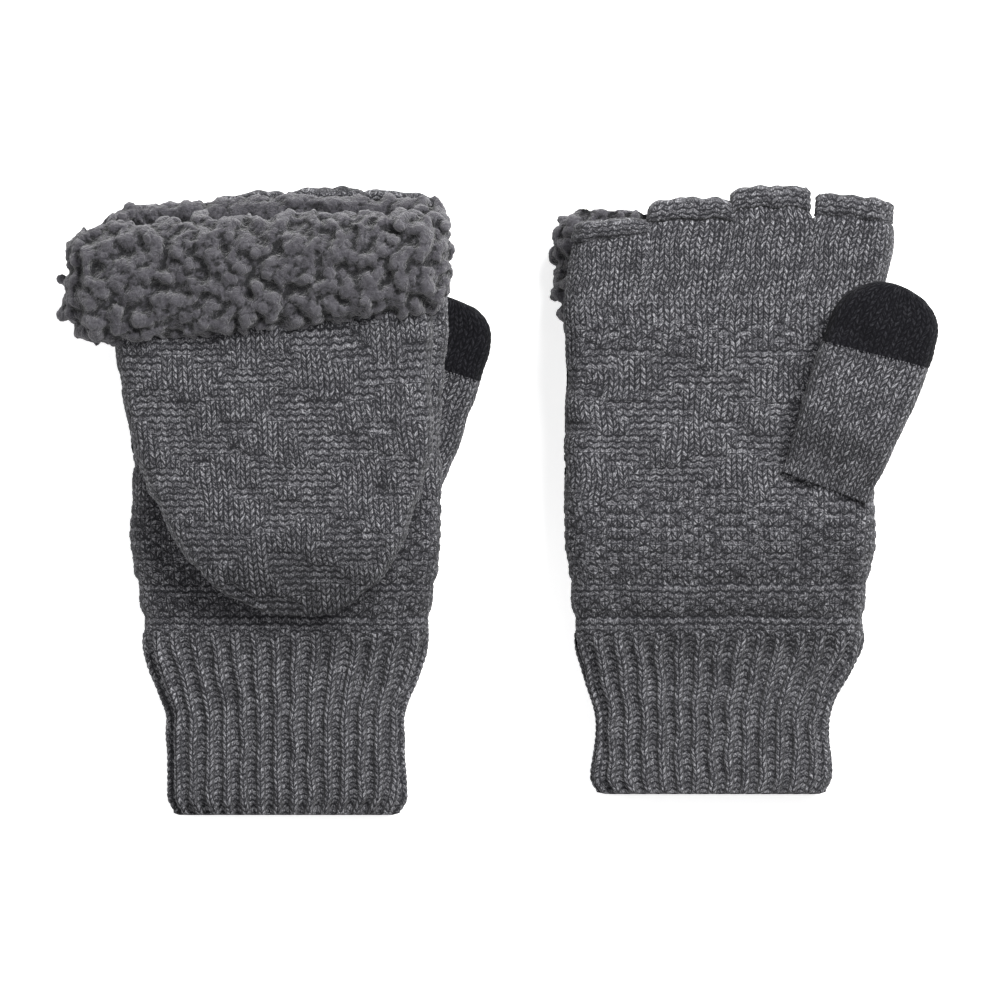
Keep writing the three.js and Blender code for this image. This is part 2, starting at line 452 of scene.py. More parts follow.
@dataclass
class Cloth:
    """A grid of points that becomes one closed piece of cloth.

    Rows run along the cloth and columns run round it; the last column lies on the first.
    """

    points: Array
    wales: Array
    courses: Array
    relief: Array
    purled: Array

    def normals(self) -> Array:
        """Outward directions, from each point's neighbours in the grid.

        Returns:
            One direction for each point, of length 1.
        """
        rounds = self.points[:, :-1]
        around = np.roll(rounds, -1, axis=1) - np.roll(rounds, 1, axis=1)
        along = np.gradient(rounds, axis=0)
        outward = np.cross(around, along)
        outward /= np.maximum(np.linalg.norm(outward, axis=-1, keepdims=True), 1e-12)
        centre = rounds.mean(axis=1, keepdims=True)
        if ((rounds - centre) * outward).sum() < 0.0:
            outward = -outward
        return np.concatenate([outward, outward[:, :1]], axis=1)

    def raised(self, height: Array | float) -> Array:
        """The points, raised outwards by a height in millimetres."""
        lift = np.broadcast_to(np.asarray(height, float), self.relief.shape)
        return self.points + self.normals() * lift[..., None] * MM

    def then(self, other: "Cloth") -> "Cloth":
        """This cloth with another one's rows after its own."""
        pairs = [
            np.concatenate([getattr(self, name), getattr(other, name)])
            for name in ("points", "wales", "courses", "relief", "purled")
        ]
        return Cloth(*pairs)


def only(obj: bpy.types.Object) -> None:
    """Makes an object the only one selected, and active."""
    bpy.ops.object.select_all(action="DESELECT")
    obj.select_set(True)
    bpy.context.view_layer.objects.active = obj


def apply_all(obj: bpy.types.Object) -> None:
    """Applies every modifier of an object, in order."""
    only(obj)
    for modifier in list(obj.modifiers):
        bpy.ops.object.modifier_apply(modifier=modifier.name)


def point_values(obj: bpy.types.Object, name: str, values: Array) -> None:
    """Keeps one number at each vertex, for the material to read.

    Args:
        obj: The piece.
        name: The attribute's name.
        values: One number for each vertex.
    """
    attribute = obj.data.attributes.new(name, "FLOAT", "POINT")
    attribute.data.foreach_set("value", np.asarray(values, np.float32).ravel())


def weave(name: str, cloth: Cloth) -> bpy.types.Object:
    """Models a piece of cloth: a grid, laid point by point, with its seams welded.

    Args:
        name: The piece's name.
        cloth: Where its points go and what they carry.

    Returns:
        The new object, smooth, closed and facing outwards.
    """
    rows, columns = cloth.relief.shape
    bpy.ops.object.select_all(action="DESELECT")
    bpy.ops.mesh.primitive_grid_add(
        x_subdivisions=columns - 1, y_subdivisions=rows - 1, size=1.0, calc_uvs=False,
    )
    obj = bpy.context.active_object
    obj.name = obj.data.name = name
    mesh = obj.data
    points = cloth.points.copy()
    points[..., 2] = np.maximum(points[..., 2], TABLE_CLEAR)
    mesh.vertices.foreach_set("co", points.astype(np.float32).ravel())
    corners = np.empty(len(mesh.loops), np.int64)
    mesh.loops.foreach_get("vertex_index", corners)
    places = np.stack([cloth.wales.ravel()[corners], cloth.courses.ravel()[corners]], axis=-1)
    layer = mesh.uv_layers.new(name="stitch")
    layer.data.foreach_set("uv", places.astype(np.float32).ravel())
    point_values(obj, "relief", cloth.relief)
    point_values(obj, "purled", cloth.purled)
    only(obj)
    bpy.ops.object.mode_set(mode="EDIT")
    bpy.ops.mesh.select_all(action="SELECT")
    bpy.ops.mesh.remove_doubles(threshold=2e-6)
    bpy.ops.mesh.dissolve_degenerate(threshold=1e-7)
    bpy.ops.mesh.normals_make_consistent(inside=False)
    bpy.ops.object.mode_set(mode="OBJECT")
    bpy.ops.object.shade_smooth()
    return obj


@dataclass
class KnitPiece:
    """One knitted tube or pocket, worked round and round along its length."""

    name: str
    section: Callable[[float], Section]
    place: Callable[[Array, Array, Array], Array]
    mouth: float
    far: float
    wales: int
    stitch: Stitch
    wall: float = 2.4
    closed: bool = False
    from_middle: bool = False
    crowding: float = 1.0
    drift: Waves = Waves(0.12, 5.0, 91)
    gauge: Gauge = Gauge()
    swell: Callable[[Array, Array, Array], Array] | None = None

    def rows(self, count: int, crowding: float) -> Array:
        """Stations from the mouth to the far end, crowded towards it when asked."""
        share = np.linspace(0.0, 1.0, count + 1)
        return self.mouth + (self.far - self.mouth) * (1.0 - (1.0 - share) ** crowding)

    def wrap(self, stations: Array, wall: float = 0.0, pressed: bool = False) -> Cloth:
        """Lays rings of points round the piece.

        Args:
            stations: Where the rings are along the piece.
            wall: How far in from its outside they lie.
            pressed: Whether they are pressed flat, which shuts a pocket's end.

        Returns:
            The cloth of those rings, its relief still level.
        """
        columns = self.wales * self.gauge.columns
        across, height, counted = [], [], []
        for station in stations:
            section = self.section(float(station)).inset(wall)
            x, h, around = section.ring(columns)
            if pressed:
                h = np.full_like(h, (section.low + section.high) / 2.0)
            share = np.linspace(0.0, 1.0, columns + 1)
            faces = np.where(share < 0.5, share - 0.25, 0.75 - share) * around / self.gauge.wale
            across.append(x)
            height.append(h)
            counted.append(faces + FIRST_WALE if self.from_middle else share * self.wales)
        along = np.repeat(np.asarray(stations)[:, None], columns + 1, axis=1)
        x, h = np.array(across), np.array(height)
        level = np.full(x.shape, 0.5)
        return Cloth(
            self.place(x, along, h), np.array(counted),
            along / self.gauge.course + FIRST_COURSE, level, np.zeros(x.shape),
        )

    def outside(self) -> Cloth:
        """The outer face, with its stitches raised."""
        span = abs(self.far - self.mouth)
        count = max(4, round(span / self.gauge.course * self.gauge.rows))
        stations = self.rows(count, self.crowding)
        cloth = self.wrap(stations)
        along = (cloth.courses - FIRST_COURSE) * self.gauge.course
        knitting = Knitting()
        drift = self.drift.at(cloth.wales, cloth.courses)
        cloth.wales, cloth.courses = cloth.wales + drift, cloth.courses + drift
        cloth.relief, cloth.purled = knitting.relief(
            self.stitch, cloth.wales, cloth.courses, along,
        )
        recess = knitting.recess(self.stitch, cloth.purled, along)
        height = self.gauge.height * (cloth.relief - 0.6) - recess
        if self.swell is not None:
            across = cloth.points[..., 0] / MM
            height = height + self.swell(across, along, cloth.wales)
        cloth.points = cloth.raised(height)
        return cloth

    def build(self) -> bpy.types.Object:
        """Models the piece: outer face, rolled rims and inner face.

        Returns:
            The finished object.
        """
        onward = math.copysign(1.0, self.far - self.mouth)
        outside = self.outside()
        lip = self.wall * 0.3
        rim = self.wrap(np.array([self.mouth - onward * lip]), self.wall / 2.0)
        if not self.closed:
            far_rim = self.wrap(np.array([self.far + onward * lip]), self.wall / 2.0)
            inside = self.wrap(np.linspace(self.far, self.mouth, 7), self.wall)
            first = Cloth(*(getattr(outside, name)[:1] for name in vars(outside)))
            whole = outside.then(far_rim).then(inside).then(rim).then(first)
            return weave(f"{self.name}_cloth", whole)
        inner_tip = self.far - onward * self.wall
        inner = KnitPiece(**{**vars(self), "far": inner_tip}).rows(12, 1.6)[::-1]
        shut_inside = self.wrap(inner[:1], self.wall, pressed=True)
        inside = self.wrap(inner, self.wall)
        shut = self.wrap(np.array([self.far]), 0.0, pressed=True)
        return weave(
            f"{self.name}_cloth", shut_inside.then(inside).then(rim).then(outside).then(shut),
        )


@dataclass(frozen=True)
class Fingers:
    """How one mitten's stalls spread, from the little finger to the index finger.

    Tops are the places across the row where the open ends start and end. Rises are how far
    each end stands past the others, and how far it slants up towards the thumb's side.
    Parting opens the gap between the middle and the index finger.
    """

    tops: tuple[float, ...]
    rises: tuple[tuple[float, float], ...]
    parting: float
    widths: tuple[float, ...] = (26.2, 26.6, 26.6, 28.4)
    fanning: tuple[float, float] = (60.0, 96.0)
    parting_run: tuple[float, float] = (86.0, 98.0)
    overlap: float = 0.9
    loosening: float = 0.6
    loosening_run: tuple[float, float] = (92.0, 104.0)
    corner: float = 0.8
    corner_growth: float = 1.0
    corner_run: tuple[float, float] = (84.0, 100.0)
    rising_run: tuple[float, float] = (72.0, 98.0)
    ragged_run: tuple[float, float] = (90.0, 99.0)
    dropped_corner: float = 1.7


FINGER_NAMES = ("little", "ring", "middle", "index")
FINGERS = {
    Side.LEFT: Fingers(
        (-51.7, -26.0, 0.0, 26.2, 51.2), ((-0.5, 7.0), (0.7, 3.3), (-1.2, 1.0), (0.3, -3.0)),
        0.0,
    ),
    Side.RIGHT: Fingers(
        (-49.4, -23.7, 3.8, 30.7, 57.6),
        ((-3.3, 2.3), (-1.2, 1.0), (-1.0, 0.6), (-1.2, -3.0)), 1.3,
    ),
}


@dataclass
class Mitten:
    """The knitted body of one mitten: its hand, wrist cuff, finger stalls and their rims."""

    lay: Lay
    fingers: Fingers
    cuff_shift: float
    index_flare: float = 2.6
    wrist_taper: float = 4.6
    taper_start: float = 10.0
    taper_past: float = 12.0
    hand_end: float = -44.6
    cuff_half: float = 39.3
    cuff_gather: float = 30.0
    cuff_end_run: float = 7.0
    cuff_end_in: float = 2.2
    hand_wales: int = 62
    rib: Gauge = Gauge(wale=2.6, course=2.05, columns=7, rows=4, height=0.85)
    rib_depth: float = 1.2
    rib_run: tuple[float, float] = (43.0, 52.0)
    welt_depth: float = 0.6
    welt_width: float = 1.5
    crease_depth: float = 0.9
    crease_width: float = 1.3
    crease_run: tuple[float, float] = (54.0, 66.0)
    stall_wall: float = 2.0
    pinch: float = 0.9
    pinch_back: float = 2.6
    pinch_width: float = 1.6
    roll: float = 6.4
    roll_gauge: Gauge = Gauge(course=2.0, rows=5, height=0.8)
    roll_waves: Waves = Waves(0.5, 9.0, 51)
    gap: float = 0.3

    def _name(self, piece: str) -> str:
        """A piece's name, which is its CAD node's."""
        return f"{self.lay.side.value}_{piece}"

    def _span(self, node: str) -> tuple[float, float]:
        """Where a CAD node starts and ends along the mitten, in its own millimetres."""
        low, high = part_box(self._name(node))
        return low[1] / MM - self.lay.shift_y, high[1] / MM - self.lay.shift_y

    def half(self, y: float) -> tuple[float, float]:
        """Half widths of the hand.

        Args:
            y: Place along the mitten.

        Returns:
            The half width on the little finger's side, and on the thumb's.
        """
        wristwards = float(smooth(-y, self.taper_start, self.taper_past - self.hand_end))
        fingerwards = float(smooth(y, self.taper_start, self.lay.finger_line))
        half = self.lay.hand_half - self.wrist_taper * wristwards
        return half, half + self.index_flare * fingerwards

    def hand_section(self, y: float) -> Section:
        """The hand's cross-section at y."""
        left, right = self.half(y)
        return Section(-left, right, 0.0, self.lay.hand_thick)

    def cuff_section(self, y: float) -> Section:
        """The wrist cuff's cross-section: gathered in, and drawn in again at its open end.

        Args:
            y: Place along the mitten.

        Returns:
            The section at y.
        """
        gathered = float(smooth(-y, -self.hand_end, self.cuff_gather - self.hand_end))
        left, _ = self.half(self.hand_end)
        half = left + (self.cuff_half - left) * gathered
        end, _ = self._span("wrist_cuff")
        near_end = float(smooth(-y, -end - self.cuff_end_run, -end))
        half -= self.cuff_end_in * near_end ** 2
        shift = self.cuff_shift * gathered
        thick = self.lay.hand_thick
        return Section(shift - half, shift + half, 0.4 * near_end, thick - 2.0 * near_end ** 2)

    def creases(self) -> list[float]:
        """Where neighbouring fingers meet on the finger line.

        Returns:
            Three places across the row, from the little finger's side.
        """
        left, right = self.half(self.lay.finger_line)
        total = sum(self.fingers.widths)
        places, at = [], -left
        for width in self.fingers.widths[:-1]:
            at += width / total * (left + right)
            places.append(at)
        return places

    def softness(self, x: Array, y: Array) -> Array:
        """The unevenness that the hand and its stalls share.

        Args:
            x: Across the row, in millimetres.
            y: Along the mitten, in millimetres.

        Returns:
            How far the cloth stands out, in millimetres.
        """
        seed = 11 if self.lay.back_up else 12
        return Waves(0.6, 34.0, seed).at(x, y) + Waves(0.2, 11.0, seed + 20).at(x, y)

    def hand_swell(self, x: Array, y: Array, wales: Array) -> Array:
        """Softness of the hand: uneven cloth, welts near the wrist, hints of the fingers.

        Args:
            x: Across the row, in millimetres.
            y: Along the mitten, in millimetres.
            wales: Place round the hand, in wales; not used.

        Returns:
            How far the cloth stands out, in millimetres.
        """
        welts = sum(bell(y, place, self.welt_width) for place in BANDS.welts)
        local = x - self.lay.middle
        creases = sum(bell(local, place, self.crease_width) for place in self.creases())
        draw_in = self.crease_depth * creases * smooth(y, *self.crease_run)
        return self.softness(x, y) - self.welt_depth * welts - draw_in

    def hand(self) -> bpy.types.Object:
        """Models the hand."""
        low, high = self._span("hand")
        piece = KnitPiece(
            self._name("hand"), self.hand_section, self.lay.place, low, high + self.gap,
            self.hand_wales, Stitch.TEXTURED, swell=self.hand_swell,
        )
        return piece.build()

    def rib_swell(self, x: Array, y: Array, wales: Array) -> Array:
        """Raises the cuff's ribs.

        Args:
            x: Across the row, in millimetres.
            y: Along the mitten, in millimetres.
            wales: Place round the cuff, in wales.

        Returns:
            How far the cloth stands out, in millimetres.
        """
        ridge = np.cos(math.pi * (wales - 0.5))
        depth = self.rib_depth * smooth(-y, *self.rib_run)
        ribs = depth * (np.sign(ridge) * np.abs(ridge) ** 0.7 - 0.5)
        return ribs + self.softness(x, y)

    def wrist_cuff(self) -> bpy.types.Object:
        """Models the ribbed wrist cuff."""
        low, high = self._span("wrist_cuff")
        piece = KnitPiece(
            self._name("wrist_cuff"), self.cuff_section, self.lay.place, high + self.gap, low,
            self.hand_wales, Stitch.RIB, gauge=self.rib, swell=self.rib_swell,
        )
        return piece.build()

    def finger_section(self, finger: str) -> Callable[[float], Section]:
        """The cross-section of one finger stall.

        Args:
            finger: Which finger.

        Returns:
            A function from a place along the mitten to the section there.
        """
        shape = self.fingers
        left, right = self.half(self.lay.finger_line)
        roots = [-left, *self.creases(), right]
        at = FINGER_NAMES.index(finger)
        first, last = at == 0, at == len(FINGER_NAMES) - 1

        def section(y: float) -> Section:
            """The stall's cross-section, which fans out from the finger line.

            Args:
                y: Place along the mitten.

            Returns:
                The section at y.
            """
            spread = float(smooth(y, *shape.fanning))
            start, end = (
                root + (top - root) * spread
                for root, top in zip(roots[at:at + 2], shape.tops[at:at + 2])
            )
            apart = -shape.overlap + shape.loosening * float(smooth(y, *shape.loosening_run))
            parted = shape.parting * float(smooth(y, *shape.parting_run))
            start += 0.0 if first else apart
            start += parted if finger == "index" else 0.0
            end -= 0.0 if last else apart
            end -= parted if finger == "middle" else 0.0
            inner = shape.corner + shape.corner_growth * float(smooth(y, *shape.corner_run))
            return Section(
                start, end, 0.0, self.lay.hand_thick,
                FULL_ROUND if first else inner, FULL_ROUND if last else inner,
            )

        return section

    def finger_place(self, finger: str) -> Callable[[Array, Array, Array], Array]:
        """How one stall's points are placed: its open end slants and stands at its own height.

        Args:
            finger: Which finger.

        Returns:
            A function like the lay's own place.
        """
        shape = self.fingers
        at = FINGER_NAMES.index(finger)
        rise, slope = shape.rises[at]
        start, end = shape.tops[at:at + 2]
        waves = Waves(0.45, 7.0, 52 + at)

        def place(x: Array, y: Array, h: Array) -> Array:
            """Places points of the stall on the table.

            Args:
                x: Across the mitten.
                y: Along the mitten.
                h: Through the layers.

            Returns:
                Points in metres.
            """
            share = np.clip((x - start) / (end - start), 0.0, 1.0) - 0.5
            ragged = waves.at(x, h) - shape.dropped_corner * np.abs(2.0 * share) ** 5
            moved = smooth(y, *shape.rising_run) * (rise + slope * share)
            return self.lay.place(x, y + moved + smooth(y, *shape.ragged_run) * ragged, h)

        return place

    def stall(self, finger: str) -> bpy.types.Object:
        """Models one half-finger stall.

        Args:
            finger: Which finger.

        Returns:
            The finished object.
        """
        low, high = self._span(f"{finger}_stall")
        section = self.finger_section(finger)
        around = section(low).ring(8)[2]

        def swell(x: Array, y: Array, wales: Array) -> Array:
            """Uneven cloth, pinched in under the rolled rim."""
            pinch = self.pinch * bell(y, high - self.pinch_back, self.pinch_width)
            return self.softness(x, y) - pinch

        piece = KnitPiece(
            self._name(f"{finger}_stall"), section, self.finger_place(finger),
            low - 3.0 * self.gap, high, round(around / Gauge.wale), Stitch.STOCKINETTE,
            wall=self.stall_wall, swell=swell,
        )
        return piece.build()

    def rim(self, finger: str) -> bpy.types.Object:
        """Models the rolled bind-off rim of one stall.

        Args:
            finger: Which finger.

        Returns:
            The finished object.
        """
        _, top = self._span(f"{finger}_edge")
        section = self.finger_section(finger)
        around = section(top).ring(8)[2]
        proud = 1.3 if finger in ("little", "ring") else 0.9

        def rolled(y: float) -> Section:
            """The rim's cross-section, fullest half way along the roll.

            Args:
                y: Place along the mitten.

            Returns:
                The section at y.
            """
            base = section(min(y, top))
            full = math.sqrt(max(0.0, 1.0 - (2.0 * (top - y) / self.roll - 1.0) ** 2))
            out = proud * full - 0.5
            side = 0.1 * full
            return Section(
                base.left - side, base.right + side, base.low - out, base.high + out,
                base.round_left, base.round_right,
            )

        def swell(x: Array, y: Array, wales: Array) -> Array:
            """A loose, uneven edge."""
            return self.roll_waves.at(x, y)

        piece = KnitPiece(
            self._name(f"{finger}_edge"), rolled, self.finger_place(finger), top - self.roll,
            top, round(around / self.roll_gauge.wale), Stitch.PURL, gauge=self.roll_gauge,
            swell=swell,
        )
        return piece.build()


@dataclass
class Thumb:
    """A thumb: its knitted stall and its touch-yarn tip."""

    lay: Lay
    across: float
    along: float
    lean: float
    slant: float
    length: float = 71.0
    tip_length: float = 24.0
    base_width: float = 31.0
    width: float = 35.4
    thick: float = 11.0
    tip_round: float = 16.0
    widening: float = 0.55
    flat_tip: float = 2.6
    thinning: float = 0.42
    low_share: float = 0.4
    sewn: float = 0.95
    sunk: float = 1.6
    sewn_run: tuple[float, float] = (-2.0, 26.0)
    slant_run: float = 18.0
    wales: int = 24
    wall: float = 1.8
    tip_start: float = 0.6
    tip_crowding: float = 1.7
    tip_gauge: Gauge = Gauge(height=0.5, rows=6)

    def place(self, across: Array, along: Array, h: Array) -> Array:
        """Places points of the thumb on the table.

        Args:
            across: Across the thumb, in millimetres.
            along: From its base towards its tip.
            h: From the face nearest the table (left) or the palm (right).

        Returns:
            Points in metres.
        """
        start = self.length - self.tip_length
        near_tip = smooth(along, start - self.slant_run, start)
        near_tip = near_tip * (1.0 - smooth(along, start, self.length))
        along = along + self.slant * across * near_tip
        lean = math.radians(self.lean)
        x = self.across + across * math.cos(lean) + along * math.sin(lean)
        y = self.along - across * math.sin(lean) + along * math.cos(lean)
        if not self.lay.back_up:
            return self.lay.place(x, y, -self.lay.layer - h)
        x, y, z = np.broadcast_arrays(x + self.lay.middle, y + self.lay.shift_y, h)
        return np.stack([x, y, z], axis=-1) * MM

    def section(self, along: float) -> Section:
        """The thumb's cross-section, which starts thin where it is sewn to the palm.

        Args:
            along: Place from the thumb's base towards its tip.

        Returns:
            The section there.
        """
        swell = float(smooth(along, 0.0, self.widening * self.length))
        from_tip = min(1.0, (self.length - along) / self.tip_round)
        full = math.sqrt(max(0.0, 1.0 - (1.0 - from_tip) ** self.flat_tip))
        half = (self.base_width + (self.width - self.base_width) * swell) / 2.0 * full
        thin = self.thick * self.thinning * (1.0 - math.sqrt(full))
        fading = 1.0 - float(smooth(along, *self.sewn_run))
        sewn, sunk = self.sewn * self.thick * fading, self.sunk * fading
        high = self.thick - thin - (0.0 if self.lay.back_up else sewn)
        low = thin * self.low_share + (sewn if self.lay.back_up else -sunk)
        return Section(-half, half, low, high)

    def swell(self, x: Array, y: Array, wales: Array) -> Array:
        """Uneven, softly worn cloth."""
        return Waves(0.45, 22.0, 61).at(x, y) + Waves(0.2, 9.0, 62).at(x, y)

    def stall(self) -> bpy.types.Object:
        """Models the knitted thumb."""
        piece = KnitPiece(
            f"{self.lay.side.value}_thumb_stall", self.section, self.place,
            self.length - self.tip_length, 0.0, self.wales, Stitch.STOCKINETTE,
            wall=self.wall, closed=True, swell=self.swell,
        )
        return piece.build()

    def tip(self) -> bpy.types.Object:
        """Models the dark fingertip, its first course scalloped over the grey ones."""
        piece = KnitPiece(
            f"{self.lay.side.value}_thumb_tip", self.section, self.place,
            self.length - self.tip_length - self.tip_start, self.length, self.wales,
            Stitch.STOCKINETTE, wall=self.wall, closed=True, crowding=self.tip_crowding,
            gauge=self.tip_gauge, swell=self.swell,
        )
        return piece.build()


@dataclass
class Cap:
    """The flip-top cap's knitted pocket."""

    lay: Lay
    width: float
    middle_at_mouth: float
    drift: float = 7.0
    mouth_rise: float = 0.0
    mouth: float = 57.7
    rise_from: float = 24.0
    hinge_line: float = 62.0
    knit: float = 2.2
    wales: int = 70
    crowding: float = 1.35
    roundness: float = 2.25
    edge_round: float = 5.0
    edge_turn: tuple[float, float] = (0.4, 1.6)
    edge_roll: tuple[float, float, float] = (0.55, 2.6, 1.5)
    edge_dip: tuple[float, float, float] = (0.35, 6.4, 1.6)

    def section(self, y: float, tip: float, inward: float = 0.0) -> Section:
        """The pocket's cross-section, inside a U outline.

        Args:
            y: Place along the mitten.
            tip: Where the U ends.
            inward: How far in from the outline.

        Returns:
            The section at y.
        """
        reach = min(1.0, (self.hinge_line - y) / (self.hinge_line - tip))
        outline = max(0.0, 1.0 - reach ** self.roundness) ** (1.0 / self.roundness)
        half = (self.width / 2.0 - inward) * outline
        sway = self.drift * (self.hinge_line - y) / (self.hinge_line - self.lay.cap_tip)
        middle = self.middle_at_mouth + sway
        low = self.lay.cap_floor + inward
        high = self.lay.hand_thick + float(self.lay.cap_stack(y)) - inward
        closing = min(1.0, (y - tip) / self.edge_round)
        shrink = (high - low) / 2.0 * (1.0 - math.sqrt(max(0.0, 1.0 - (1.0 - closing) ** 2)))
        up, down = self.edge_turn
        return Section(middle - half, middle + half, low + up * shrink, high - down * shrink)

    def place(self, x: Array, y: Array, h: Array) -> Array:
        """Places points of the pocket, whose mouth leans up on the thumb's side.

        Args:
            x: Across the mitten.
            y: Along the mitten.
            h: Through the layers.

        Returns:
            Points in metres.
        """
        along = np.clip(x / self.width + 0.5, 0.0, 1.0)
        lifted = self.mouth_rise * along ** 2 * smooth(y, self.rise_from, self.mouth)
        return self.lay.place(x, y + lifted, h)

    def swell(self, x: Array, y: Array, wales: Array) -> Array:
        """Soft unevenness of a lined pocket, with a slight roll along its edge.

        Args:
            x: Across the row, in millimetres.
            y: Along the mitten, in millimetres.
            wales: Place across the pocket, in wales; not used.

        Returns:
            How far the cloth stands out, in millimetres.
        """
        soft = Waves(0.8, 38.0, 71).at(x, y) + Waves(0.3, 13.0, 72).at(x, y)
        reach = np.clip((self.hinge_line - y) / (self.hinge_line - self.lay.cap_tip), 0.0, 1.0)
        outline = (1.0 - reach ** self.roundness) ** (1.0 / self.roundness)
        middle = self.middle_at_mouth + self.drift * reach
        from_edge = self.width / 2.0 * outline - np.abs(x - self.lay.middle - middle)
        (rolled, *crest), (dipped, *trough) = self.edge_roll, self.edge_dip
        roll = rolled * bell(from_edge, *crest) - dipped * bell(from_edge, *trough)
        return (soft + roll) * smooth(y, self.lay.cap_tip, self.lay.cap_tip + self.edge_round)

    def shell(self) -> bpy.types.Object:
        """Models the knitted pocket."""
        piece = KnitPiece(
            f"{self.lay.side.value}_cap_shell", lambda y: self.section(y, self.lay.cap_tip),
            self.place, self.mouth, self.lay.cap_tip, self.wales, Stitch.CAP, wall=self.knit,
            closed=True, from_middle=True, crowding=self.crowding, swell=self.swell,
        )
        return piece.build()


def spread_points(points: Array, spacing: float) -> Array:
    """Picks points that keep a distance from each other.

    Args:
        points: Candidates, in the order in which they are tried.
        spacing: The least distance between two that are kept.

    Returns:
        The indices of the kept ones.
    """
    kept: list[int] = []
    cells: dict[tuple[int, int, int], list[int]] = {}
    for at, point in enumerate(points):
        cell = tuple(int(math.floor(value / spacing)) for value in point)
        near = (
            other
            for dx in (-1, 0, 1) for dy in (-1, 0, 1) for dz in (-1, 0, 1)
            for other in cells.get((cell[0] + dx, cell[1] + dy, cell[2] + dz), ())
        )
        if all(np.sum((points[other] - point) ** 2) >= spacing ** 2 for other in near):
            kept.append(at)
            cells.setdefault(cell, []).append(at)
    return np.array(kept)


@dataclass
class Pile:
    """Sherpa: curly clumps of pile standing on a cloth base."""

    seed: int
    spacing: float = 4.4
    tries: float = 5.0
    radius: tuple[float, float] = (2.1, 3.0)
    beads: int = 6
    curl: tuple[float, float] = (0.1, 0.45)
    lift: tuple[float, float] = (0.0, 0.3)
    lift_loss: float = 0.4
    taper: float = 0.08
    step: float = 0.62
    voxel: float = 0.7
    swellings: tuple[tuple[str, float, float], ...] = (("clumps", 7.0, 2.6), ("curls", 2.8, 0.8))
    hairs: float = 1.0

    def clumps(self, base: Array, normals: Array) -> Array:
        """Curls of beads over a base surface.

        Args:
            base: Points of the base grid, in metres, rows by columns by coordinates.
            normals: Its outward directions.

        Returns:
            Each bead's centre and radius, in metres, one row for each bead.
        """
        chance = np.random.default_rng(self.seed)
        rows, columns = base.shape[0] - 1, base.shape[1] - 1
        edge_a = base[1:, :-1] - base[:-1, :-1]
        edge_b = base[:-1, 1:] - base[:-1, :-1]
        area = np.linalg.norm(np.cross(edge_a, edge_b), axis=-1).ravel()
        total = area.sum()
        wanted = int(total / (self.spacing * MM) ** 2 * self.tries)
        cells = chance.choice(rows * columns, size=wanted, p=area / total)
        row, column = cells // columns, cells % columns
        a, b = chance.random(wanted)[:, None], chance.random(wanted)[:, None]

        def mixed(grid: Array) -> Array:
            """Values of a grid at the chosen places."""
            top = grid[row, column] * (1 - b) + grid[row, column + 1] * b
            low = grid[row + 1, column] * (1 - b) + grid[row + 1, column + 1] * b
            return top * (1 - a) + low * a

        roots, up = mixed(base), mixed(normals)
        up /= np.maximum(np.linalg.norm(up, axis=1, keepdims=True), 1e-9)
        kept = spread_points(roots, self.spacing * MM)
        roots, up = roots[kept], up[kept]
        count = len(kept)
        radius = chance.uniform(*self.radius, count) * MM
        aside = np.cross(up, chance.normal(size=(count, 3)))
        aside /= np.maximum(np.linalg.norm(aside, axis=1, keepdims=True), 1e-9)
        curl = chance.uniform(*self.curl, count) * chance.choice([-1.0, 1.0], count)
        lift = chance.uniform(*self.lift, count)
        at = roots - up * radius[:, None] * 0.1
        beads = []
        for bead in range(self.beads):
            size = radius * (1.0 - self.taper * bead)
            beads.append(np.concatenate([at, size[:, None]], axis=1))
            turned = aside * np.cos(curl * bead)[:, None]
            turned = turned + np.cross(up, aside) * np.sin(curl * bead)[:, None]
            rise = up * (lift * (1.0 - self.lift_loss * bead))[:, None]
            at = at + (turned + rise) * size[:, None] * self.step
        return np.concatenate(beads)


def stamped(name: str, shape: bpy.types.Object, places: Array) -> bpy.types.Object:
    """Copies one small shape to many places, all in one mesh.

    Args:
        name: The new object's name.
        shape: The shape, of radius 1, which is removed afterwards.
        places: A centre and a radius for each copy, in metres.

    Returns:
        The object that holds all the copies.
    """
    source = shape.data
    corners = vertex_vectors(source, "co")
    loops = np.empty(len(source.loops), np.int64)
    source.loops.foreach_get("vertex_index", loops)
    points = places[:, None, :3] + corners[None] * places[:, None, 3:]
    points[..., 2] = np.maximum(points[..., 2], PILE_CLEAR)
    steps = np.arange(len(places))[:, None] * len(corners)
    mesh = bpy.data.meshes.new(name)
    mesh.vertices.add(points.size // 3)
    mesh.vertices.foreach_set("co", points.astype(np.float32).ravel())
    mesh.loops.add(len(loops) * len(places))
    mesh.loops.foreach_set("vertex_index", (loops[None] + steps).ravel())
    mesh.polygons.add(len(loops) * len(places) // 3)
    mesh.polygons.foreach_set("loop_start", np.arange(0, len(loops) * len(places), 3))
    mesh.update(calc_edges=True)
    bpy.data.objects.remove(shape)
    obj = bpy.data.objects.new(name, mesh)
    bpy.context.collection.objects.link(obj)
    return obj


def edge_ends(mesh: bpy.types.Mesh) -> tuple[Array, Array]:
    """The vertices at the two ends of every edge."""
    ends = np.empty(len(mesh.edges) * 2, np.int64)
    mesh.edges.foreach_get("vertices", ends)
    return ends.reshape(-1, 2)[:, 0], ends.reshape(-1, 2)[:, 1]


def vertex_vectors(mesh: bpy.types.Mesh, kind: str) -> Array:
    """Every vertex's place ("co") or direction ("normal")."""
    vectors = np.empty(len(mesh.vertices) * 3)
    mesh.vertices.foreach_get(kind, vectors)
    return vectors.reshape(-1, 3)


